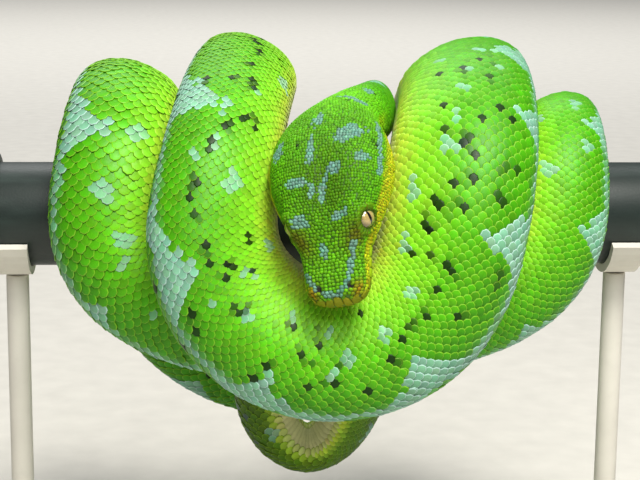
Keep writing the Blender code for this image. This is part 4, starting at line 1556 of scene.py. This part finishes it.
@dataclass
class Mouth:
    """The lips, by a distance round from the middle of the snout and a height in the head."""

    hide: Hide
    surface: BVHTree
    centre: float = 8.0             # distance back about which the front of the lips turns
    quarter: float = 12.5           # distance round from the middle to where the side begins
    upper: tuple[tuple[float, float], ...] = (
        (0.0, 5.0), (4.0, 4.7), (8.0, 3.8), (12.0, 3.0), (20.0, 2.6), (42.0, 1.8))
    lower: float = 2.1
    end: float = 40.0
    first_half: float = 1.45        # half length of the plates at the middle of the snout
    parting: float = 0.16           # from the mouth's line to the plates
    overlap: float = 1.04           # how far neighbouring plates reach past their share
    upper_pits: float = 12.0        # upper plates nearer the snout than this have heat pits
    lower_pits: tuple[float, float] = (20.0, 36.0)      # lower ones between these have them

    def run(self, points: Array) -> Array:
        """Distances round the lips of some head points."""
        back, out, _ = points.T
        front = np.arctan2(np.abs(out), np.maximum(self.centre - back, 1e-6))
        return np.where(back < self.centre, front * self.quarter * 2.0 / math.pi,
                        self.quarter + back - self.centre)

    def line(self, run: Array) -> Array:
        """Height of the mouth's line at distances round the lips."""
        angle = np.clip(np.abs(run) / self.quarter, 0.0, 1.0) * math.pi / 2.0
        back = self.centre * (1.0 - np.cos(angle)) + np.maximum(np.abs(run) - self.quarter, 0.0)
        return self.hide.mouth_height(back)

    def height(self, run: Array) -> Array:
        """Height of the upper lip's plates at distances round the lips."""
        table = np.array(self.upper)
        return np.interp(np.abs(run), table[:, 0], table[:, 1])

    def covers(self, points: Array) -> Array:
        """True for head points that the lips' plates cover."""
        run = self.run(points)
        over = points[:, 2] - self.line(run)
        within = (over < self.height(run) - 0.05) & (over > -self.lower - 0.40)
        return within & (run < self.end + 0.8)

    def cast(self, run: Array, height: Array) -> tuple[Array, Array]:
        """Course points and outward directions of the skin, found from inside the head.

        Args:
            run: Distances round the lips, positive to the left.
            height: Heights in the head.

        Returns:
            Rows of points and of directions.
        """
        angle = np.clip(np.abs(run) / self.quarter, 0.0, 1.0) * math.pi / 2.0
        back = self.centre + np.maximum(np.abs(run) - self.quarter, 0.0)
        inside = self.hide.from_head(np.stack([back, run * 0.0, height], 1))
        way = np.stack([-np.cos(angle), np.sin(angle) * np.sign(run), run * 0.0], 1)
        return cast_on(self.surface, inside, way @ self.hide.head_axes)


def cast_on(surface: BVHTree, starts: Array, ways: Array) -> tuple[Array, Array]:
    """Where rays of course points meet the skin, and the skin's direction there."""
    places, outs = [], []
    for start, way in zip(Hide.to_frame(starts), ways):
        place, out, _, _ = surface.ray_cast(Vector(start), Vector(way))
        places.append(Hide.to_course(place))
        outs.append(np.array(out) * (1.0 if out.dot(Vector(way)) > 0.0 else -1.0))
    return np.array(places), np.array(outs)


@dataclass
class HeadScales:
    """Granules of the head and nape, lip plates, and the scales round the eyes."""

    hide: Hide
    pigment: Pigment
    coat: Coat
    mouth: Mouth
    spacing: tuple[tuple[float, float], ...] = (
        (-4.0, 1.00), (4.0, 1.10), (14.0, 1.06), (20.0, 0.96), (25.0, 0.84), (38.0, 0.80),
        (56.0, 0.86), (72.0, 0.96), (86.0, 1.05))
    nape: float = 44.0              # where the granules are divided into two pieces
    tilt: float = 0.10              # this and the next two: of a granule, for each spacing
    dome: float = 0.32
    thick: float = 0.10
    painted_foot_shade: float = 0.55         # painted shade: how dark a granule, and an eye collar scale, is at its foot
    nostril_clear: float = 0.92     # radius round a nostril's middle that stays bare
    collar_count: int = 22
    collar_fill: float = 0.54       # half width of a collar scale, for each step round
    lid_sweep: tuple[float, float, float] = (20.0, 112.0, 2.0)  # degrees: from, to, step
    seed: int = 33

    @staticmethod
    def granule() -> Plate:
        """A small six-sided dome."""
        return Plate(6, (0.72,), poke=True)

    def lattice(self) -> tuple[Array, Array, Array, Array]:
        """Staggered places of the granules, with each one's spacing and girth rate."""
        draw = np.random.default_rng(self.seed)
        table = np.array(self.spacing)
        found = []
        along, shift = -self.hide.nose + 0.5, 0.0
        while along < 88.0:
            gap = float(np.interp(along, table[:, 0], table[:, 1]))
            turns, arcs = self.hide.girth_table(along)
            count = max(3, int(round(2.0 * arcs[-1] / gap)))
            arc = ((np.arange(count) + shift) / count * 2.0 - 1.0) * arcs[-1]
            arc += draw.normal(0.0, 0.10, count) * gap
            arc = np.clip(arc, -arcs[-1], arcs[-1])
            turn = np.sign(arc) * np.interp(np.abs(arc), arcs, turns)
            rate = np.interp(np.abs(turn), turns, np.gradient(arcs, turns))
            jitter = draw.normal(0.0, 0.10, count) * gap
            found.append(np.stack([along + jitter, turn, np.full(count, gap), rate]))
            along += gap * 0.84
            shift = (shift + 0.5) % 1.0 + draw.uniform(-0.08, 0.08)
        along, turn, gap, rate = np.concatenate(found, axis=1)
        return np.maximum(along, -self.hide.nose + 0.2), turn, gap, np.maximum(rate, 1.0)

    def keep(self, along: Array, turn: Array) -> Array:
        """True where granules lie, away from the eyes, nostrils and lips."""
        hide = self.hide
        points = hide.to_head(hide.place(along, turn))
        kept = ~self.mouth.covers(points)
        for place in hide.eye_places:
            kept &= np.linalg.norm(points - place, axis=1) > hide.eye_radius + 1.0
        folded = points * (1.0, 0.0, 1.0) + np.abs(points) * (0.0, 1.0, 0.0)
        kept &= np.linalg.norm(folded - np.array(NOSTRIL), axis=1) > self.nostril_clear
        return kept & (np.abs(np.degrees(turn)) < 176.0)

    def granules(self, draw: np.random.Generator) -> list[bpy.types.Object]:
        """Small domed scales, biggest on the snout and the end of the nape."""
        along, turn, gap, rate = self.lattice()
        kept = self.keep(along, turn)
        along, turn, gap, rate = (values[kept] for values in (along, turn, gap, rate))
        n = len(along)
        ragged = draw.uniform(-1.0, 1.0, n)
        colour = self.pigment.at(along, turn, rate, ragged)
        low = ease((np.abs(np.degrees(turn)) - 60.0) / 10.0) * (np.abs(turn) < math.radians(120.0))
        colour = Pigment.mix(colour, Tone.HEAD.colour, low * draw.uniform(-0.1, 0.8, n) ** 2)
        colour *= np.exp(draw.normal(0.0, 0.15, n))[:, None]
        colour *= np.exp(draw.normal(0.0, 0.06, (n, 3)))
        size = gap * (0.635 + draw.normal(0.0, 0.03, n))
        spin = draw.uniform(-0.5, 0.5, n)
        pieces = []
        for name, part in (("scales_head", along < self.nape), ("scales_nape", along >= self.nape)):
            # Painted shade: the edge colour is the granule's own, darkened at its foot.
            bed = Bed(along[part], turn[part], size[part], size[part], spin[part], rate[part],
                      gap[part] * self.tilt, gap[part] * self.dome, gap[part] * self.thick,
                      colour[part], colour[part] * self.painted_foot_shade, 0.0025)
            pieces.append(self.coat.lay(name, self.granule(), bed, "head_scales"))
        return pieces

    def lip_row(self, upper: bool) -> Array:
        """Rows of distance round, middle height, half length and half height of lip plates."""
        mouth = self.mouth
        rows = [(0.0, mouth.first_half)]
        edge = mouth.first_half
        while edge < mouth.end:
            length = min(2.2 + 0.05 * edge, 3.3)
            rows += [(edge + length / 2.0, length / 2.0), (-edge - length / 2.0, length / 2.0)]
            edge += length
        run, half = np.array(rows).T
        tall = mouth.height(run) if upper else np.full(len(run), mouth.lower)
        middle = mouth.line(run) + (mouth.parting + tall / 2.0) * (1.0 if upper else -1.0)
        return np.stack([run, middle, half * mouth.overlap, tall / 2.0 * mouth.overlap])

    def lips(self, draw: np.random.Generator) -> list[bpy.types.Object]:
        """Upper and lower lip plates; the front upper and rear lower ones have heat pits."""
        plate = Plate(8, (0.84, 0.45), corner_push=1.16)
        x, y = plate.points.T
        rear, last = self.mouth.lower_pits
        pieces = []
        for name, upper in (("lips_upper", True), ("lips_lower", False)):
            run, middle, half, tall = self.lip_row(upper)
            n = len(run)
            around = (run[:, None] + x * half[:, None]).ravel()
            height = (middle[:, None] + y * tall[:, None]).ravel()
            places, outs = self.mouth.cast(around, height)
            reach = np.abs(run)
            pitted = reach < self.mouth.upper_pits if upper else (reach > rear) & (reach < last)
            dome = np.where(pitted, -0.28, 0.26)
            stand = np.where(pitted, 0.42, 0.20)
            lift = stand[:, None] + dome[:, None] * (1.0 - plate.radius ** 2) - 0.26 * plate.rim
            roots = self.hide.to_head(self.mouth.cast(run, middle)[0])
            along, turn = self.hide.nearest(roots)
            colour = Tone.LIP.colour * np.exp(draw.normal(0.0, 0.08, n))[:, None]
            colour = Pigment.mix(colour, Tone.SNOUT.colour, draw.uniform(0.35, 0.65, n))
            colour = Pigment.mix(colour, Tone.LIP_EDGE.colour, pitted * 0.50)
            ones = np.ones(n)
            # Painted shade: each lip plate's edge is three quarters as bright as the plate.
            bed = Bed(along, turn, half, tall, ones, ones, ones, dome, ones, colour,
                      colour * 0.75)
            pieces.append(self.coat.join(name, plate, bed, places + outs * lift.ravel()[:, None],
                                         "head_scales"))
        return pieces

    def collar(self, name: str, eye: Array, look: Array,
               draw: np.random.Generator) -> bpy.types.Object:
        """A ring of small scales where an eyeball meets the skin.

        Args:
            name: The piece's name.
            eye: The eye's centre, in course millimetres.
            look: The way that the eye looks.
            draw: The seeded source of small differences.

        Returns:
            The joined ring.
        """
        plate = self.granule()
        x, y = plate.points.T
        radius = self.hide.eye_radius
        count = self.collar_count
        first = unit(np.cross(look, self.hide.head_axes[0]))
        second = np.cross(look, first)
        step = 2.0 * math.pi / count
        angle = (np.arange(count) + draw.uniform(-0.08, 0.08, count)) * step

        def way(swing: Array, around: Array) -> Array:
            """Directions at swings away from the look and angles round it."""
            spoke = np.cos(around)[:, None] * first + np.sin(around)[:, None] * second
            return np.cos(swing)[:, None] * look + np.sin(swing)[:, None] * spoke

        def reach(swing: Array, around: Array) -> Array:
            """Distances from the eye's centre to the skin, that way."""
            starts = np.tile(eye, (len(swing), 1))
            places, _ = cast_on(self.mouth.surface, starts, way(swing, around))
            return np.linalg.norm(places - eye, axis=1)

        swings = np.radians(np.arange(*self.lid_sweep))
        lid = []
        for each in angle:
            clear = reach(swings, np.full(len(swings), each)) > radius + 0.08
            lid.append(swings[int(np.argmax(clear))] if clear.any() else swings[-1])
        lid = np.array(lid)
        lid = (np.roll(lid, 1) + 2.0 * lid + np.roll(lid, -1)) / 4.0
        swing = (lid[:, None] + (0.42 + 0.56 * y) / radius).ravel()
        widen = step * self.collar_fill / np.sin(np.minimum(lid, 1.4))
        around = (angle[:, None] + x * widen[:, None]).ravel()
        away = np.maximum(reach(swing, around), radius + 0.04)
        lift = 0.12 + 0.30 * (1.0 - plate.radius ** 2) - 0.12 * plate.rim
        points = eye + way(swing, around) * (away + np.tile(lift, count))[:, None]
        roots = eye + way(lid + 0.3, angle) * (radius + 0.3)
        along, turn = self.hide.nearest(self.hide.to_head(roots))
        colour = Pigment.mix(np.tile(Tone.HEAD.colour, (count, 1)), Tone.UMBER.colour,
                             draw.uniform(0.3, 0.7, count))
        ones = np.ones(count)
        # Painted shade: the edge colour is the collar scale's own, darkened at its foot.
        bed = Bed(along, turn, ones, ones, ones, ones, ones, ones, ones, colour,
                  colour * self.painted_foot_shade, 0.0016)
        return self.coat.join(name, plate, bed, points, "head_scales")

    def build(self) -> list[bpy.types.Object]:
        """Lay the head's whole coat.

        Returns:
            The pieces.
        """
        draw = np.random.default_rng(self.seed + 1)
        pieces = self.granules(draw) + self.lips(draw)
        for side, eye, sign in zip(("left", "right"), self.hide.eyes, (1.0, -1.0)):
            look = np.array(eye_axes(self.hide, sign)[0])
            pieces.append(self.collar("eye_collar_" + side, Hide.to_course(eye), look, draw))
        return pieces


# ---- eyes ----

@dataclass
class Eye:
    """An eyeball with its axes stored on it for the iris and the slit."""

    name: str
    centre: Vector
    radius: float
    look: Vector
    slit: Vector
    finish: bpy.types.Material

    def build(self) -> bpy.types.Object:
        """Make the eyeball.

        Returns:
            The eye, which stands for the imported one.
        """
        look = self.look.normalized()
        slit = (self.slit - look * self.slit.dot(look)).normalized()
        across = slit.cross(look)
        turn = Matrix((across, slit, look)).transposed()
        shape = bmesh.new()
        bmesh.ops.create_uvsphere(shape, u_segments=64, v_segments=40, radius=self.radius)
        mesh = bpy.data.meshes.new(self.name)
        shape.to_mesh(mesh)
        shape.free()
        rows = vertex_rows(mesh)
        axes = mesh.attributes.new("eye_axes", "FLOAT_VECTOR", "POINT")
        axes.data.foreach_set("vector", (rows / self.radius).ravel())
        placed = rows @ np.array(turn).T + np.array(self.centre)
        mesh.vertices.foreach_set("co", placed.ravel())
        mesh.shade_smooth()
        stands_for = self.name.replace("eyeball", "eye")
        return new_piece(self.name, mesh, self.finish, (stands_for,))


# ---- perch and stand ----

@dataclass
class Perch:
    """The cut length of pipe and the wider sleeve on its left end."""

    finish: bpy.types.Material
    sides: int = 96
    edge: float = 0.0012
    margin: float = 0.00002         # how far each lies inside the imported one

    def build(self) -> list[bpy.types.Object]:
        """Make both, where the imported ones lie."""
        low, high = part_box("perch")
        radius = (high.z - low.z) / 2.0 - self.margin
        bar = bmesh.new()
        bmesh.ops.create_cone(bar, cap_ends=True, segments=self.sides, radius1=radius,
                              radius2=radius, depth=high.x - low.x)
        caps = [face for face in bar.faces if len(face.verts) > 4]
        bmesh.ops.inset_individual(bar, faces=caps, thickness=0.0024, depth=0.0)
        caps = [face for face in bar.faces if len(face.verts) > 4]
        bmesh.ops.inset_individual(bar, faces=caps, thickness=0.0006, depth=-0.0010)
        rims = [edge for edge in bar.edges if edge.calc_face_angle(0.0) > 1.2
                and min(v.co.xy.length for v in edge.verts) > radius - 0.0001]
        soften(bar, rims, self.edge, 3)
        self.lay_along_x(bar, (low + high) / 2.0)
        pipe = new_piece("perch_pipe", mesh_from(bar, "perch_pipe"), self.finish,
                         ("perch",))

        low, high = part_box("perch_sleeve")
        outer = (high.z - low.z) / 2.0 - self.margin
        sleeve = bmesh.new()
        bmesh.ops.create_circle(sleeve, segments=self.sides, radius=radius + 0.0003)
        ring = bmesh.ops.extrude_edge_only(sleeve, edges=sleeve.edges[:])
        for vert in made_of(ring, bmesh.types.BMVert):
            vert.co.xy = vert.co.xy.normalized() * outer
        wall = bmesh.ops.extrude_face_region(sleeve, geom=sleeve.faces[:])
        bmesh.ops.translate(sleeve, vec=(0.0, 0.0, high.x - low.x),
                            verts=made_of(wall, bmesh.types.BMVert))
        bmesh.ops.translate(sleeve, vec=(0.0, 0.0, (low.x - high.x) / 2.0), verts=sleeve.verts)
        bmesh.ops.recalc_face_normals(sleeve, faces=sleeve.faces)
        rims = [edge for edge in sleeve.edges if edge.calc_face_angle(0.0) > 1.2]
        soften(sleeve, rims, 0.0005, 2)
        self.lay_along_x(sleeve, (low + high) / 2.0)
        collar = new_piece("perch_collar", mesh_from(sleeve, "perch_collar"), self.finish,
                           ("perch_sleeve",))
        return [pipe, collar]

    @staticmethod
    def lay_along_x(shape: bmesh.types.BMesh, centre: Vector) -> None:
        """Turn an upright shape to lie along X at a place."""
        turn = Matrix.Rotation(math.radians(90.0), 3, "Y")
        bmesh.ops.rotate(shape, cent=(0.0, 0.0, 0.0), matrix=turn, verts=shape.verts)
        bmesh.ops.translate(shape, vec=centre, verts=shape.verts)


@dataclass
class Stand:
    """The plain display stand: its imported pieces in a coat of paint, with fine rods."""

    finish: bpy.types.Material

    def build(self) -> None:
        """Paint the base and saddles, and make the rods round and smooth."""
        for name, node in frame["nodes"].items():
            if name.startswith("stand_") and "rod" not in name:
                node.data.materials.clear()
                node.data.materials.append(self.finish)
        for side in ("left", "right"):
            low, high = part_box("stand_rod_" + side)
            radius = (high.x - low.x) / 2.0
            rod = bmesh.new()
            bmesh.ops.create_cone(rod, cap_ends=True, segments=48, radius1=radius, radius2=radius,
                                  depth=high.z - low.z)
            rims = [edge for edge in rod.edges if edge.calc_face_angle(0.0) > 1.2]
            soften(rod, rims, 0.0004, 2)
            bmesh.ops.translate(rod, vec=(low + high) / 2.0, verts=rod.verts)
            new_piece("rod_" + side, mesh_from(rod, "rod_" + side), self.finish,
                      ("stand_rod_" + side,))


# ---- studio ----

@dataclass
class Studio:
    """Floor, soft lights and the camera."""

    distance: float = 0.500
    azimuth: float = -4.0
    elevation: float = 10.0
    roll: float = 0.6
    lift: float = 0.97              # degrees that the view is aimed below the perch
    lens: float = 89.6
    floor_finish: bpy.types.Material | None = None

    def floor(self) -> None:
        """A wide pale floor under the stand."""
        shape = bmesh.new()
        bmesh.ops.create_grid(shape, x_segments=8, y_segments=8, size=14.0)
        bmesh.ops.translate(shape, vec=(0.0, 6.0, 0.0), verts=shape.verts)
        mesh = mesh_from(shape, "studio_floor", None)
        mesh.materials.append(self.floor_finish)
        ground = bpy.data.objects.new("studio_floor", mesh)
        bpy.context.scene.collection.objects.link(ground)

    @staticmethod
    def area(name: str, place: Triple, size: float, power: float, colour: Triple,
             aim: Triple = (0.0, 0.0, 0.12)) -> None:
        """A soft square light of a size in metres and a power in watts, aimed at a place."""
        lamp = bpy.data.lights.new(name, "AREA")
        lamp.size = size
        lamp.energy = power
        lamp.color = colour
        holder = bpy.data.objects.new(name, lamp)
        holder.location = place
        way = Vector(aim) - Vector(place)
        holder.rotation_euler = way.to_track_quat("-Z", "Y").to_euler()
        bpy.context.scene.collection.objects.link(holder)

    def lights(self) -> None:
        """A broad light from above, a front fill and an even surround."""
        self.area("key_light", (0.16, -0.50, 1.00), 0.34, 14.5, (1.0, 0.98, 0.92))
        self.area("front_fill", (0.05, -1.00, 0.90), 0.50, 6.8, (1.0, 1.0, 0.97))
        self.area("back_light", (-0.25, 0.75, 0.80), 0.60, 1.4, (1.0, 1.0, 1.0))
        self.area("backdrop_light", (0.0, 2.4, 3.2), 3.0, 190.0, (1.0, 1.0, 1.0), (0.0, 5.0, 0.0))
        world = bpy.data.worlds.new("studio_surround")
        bpy.context.scene.world = world
        world.use_nodes = True
        sky = world.node_tree.nodes["Background"]
        sky.inputs["Color"].default_value = (0.95, 0.97, 1.0, 1.0)
        sky.inputs["Strength"].default_value = 0.12

    def camera(self) -> None:
        """The camera, level with the front of the coils and a little above them."""
        sine, cosine = arc_parts(self.azimuth)
        rise, flat = arc_parts(self.elevation)
        back = Vector((sine * flat, -cosine * flat, rise))
        centre = Vector((0.0, 0.0, PERCH_HEIGHT))
        right = Vector((cosine, sine, 0.0))
        up = back.cross(right)
        low_sine, low_cosine = arc_parts(self.lift)
        axis = (back * low_cosine + up * low_sine).normalized()
        upward = axis.cross(right)
        turn = Matrix((right, upward, axis)).transposed().to_4x4()
        turn = turn @ Matrix.Rotation(math.radians(self.roll), 4, "Z")
        data = bpy.data.cameras.new("front_view")
        data.lens = self.lens
        data.clip_start = 0.01
        data.clip_end = 60.0
        camera = bpy.data.objects.new("front_view", data)
        camera.matrix_world = Matrix.Translation(centre + back * self.distance) @ turn
        bpy.context.scene.collection.objects.link(camera)
        bpy.context.scene.camera = camera

    def build(self) -> None:
        """Set up the whole studio."""
        self.floor()
        self.lights()
        self.camera()
        bpy.context.scene.view_settings.view_transform = "Standard"


# ---- the whole model ----

def eye_axes(hide: Hide, sign: float) -> tuple[Vector, Vector]:
    """The way an eye looks, and the way its slit runs.

    Args:
        hide: The snake's surface.
        sign: 1 for the left eye, -1 for the right one.

    Returns:
        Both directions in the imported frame.
    """
    ahead, side, up = (Vector(row) for row in hide.head_axes)
    look = (side * sign + up * 0.78 - ahead * 0.10).normalized()
    return look, up * 0.62 + ahead * 0.78


def main() -> None:
    """Build the snake, its perch and stand, and the studio, piece by piece."""
    logging.basicConfig(level=logging.INFO, format="%(message)s")
    course = Course()
    girth = Girth(length=course.length)
    boxes = [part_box(name) for name in ("eye_left", "eye_right")]
    eyes = tuple((low + high) / 2.0 for low, high in boxes)
    eye_radius = min((high - low)[k] for low, high in boxes for k in range(3)) / 2.0
    hide = Hide(course, girth, eyes, eye_radius / MM)
    pigment = Pigment(course.length)
    groups = EffectGroups()

    skin_finish = LivingFinish("hide_between_scales", 0.55, grain=500.0).build(groups)
    scale_finish = LivingFinish("satin_scale", 0.42, specular=0.18).build(groups)
    head_finish = LivingFinish("granular_scale", 0.50, specular=0.14, grain=700.0).build(groups)
    skin = Skin(hide, pigment, skin_finish).build()
    BodyScales(hide, pigment, Coat(hide, scale_finish)).build()
    surface = BVHTree.FromObject(skin, bpy.context.evaluated_depsgraph_get())
    HeadScales(hide, pigment, Coat(hide, head_finish), Mouth(hide, surface)).build()

    eye_finish = EyeFinish("wet_eye", 0.10, specular=0.6, coat=1.0).build()
    for name, centre, sign in zip(("eyeball_left", "eyeball_right"), eyes, (1.0, -1.0)):
        look, slit = eye_axes(hide, sign)
        Eye(name, centre, eye_radius - 0.00003, look, slit, eye_finish).build()

    pipe = PlainFinish("dark_satin_pipe", 0.40, colour=srgb(18, 32, 28), worn=srgb(50, 68, 62),
                       scuff_size=160.0, wear=0.30)
    paint_coat = PlainFinish("pale_stand_paint", 0.55, colour=srgb(206, 202, 192),
                             worn=srgb(186, 182, 172), stretch=(1.0, 1.0, 1.0), wear=0.20)
    ground = PlainFinish("pale_floor", 0.70, colour=srgb(206, 203, 195), worn=srgb(198, 195, 187),
                         scuff_size=3.0, stretch=(1.0, 1.0, 1.0), wear=0.25, grain_size=60.0)
    Perch(pipe.build(groups)).build()
    Stand(paint_coat.build(groups)).build()
    Studio(floor_finish=ground.build(groups)).build()


if __name__ == "__main__":
    main()
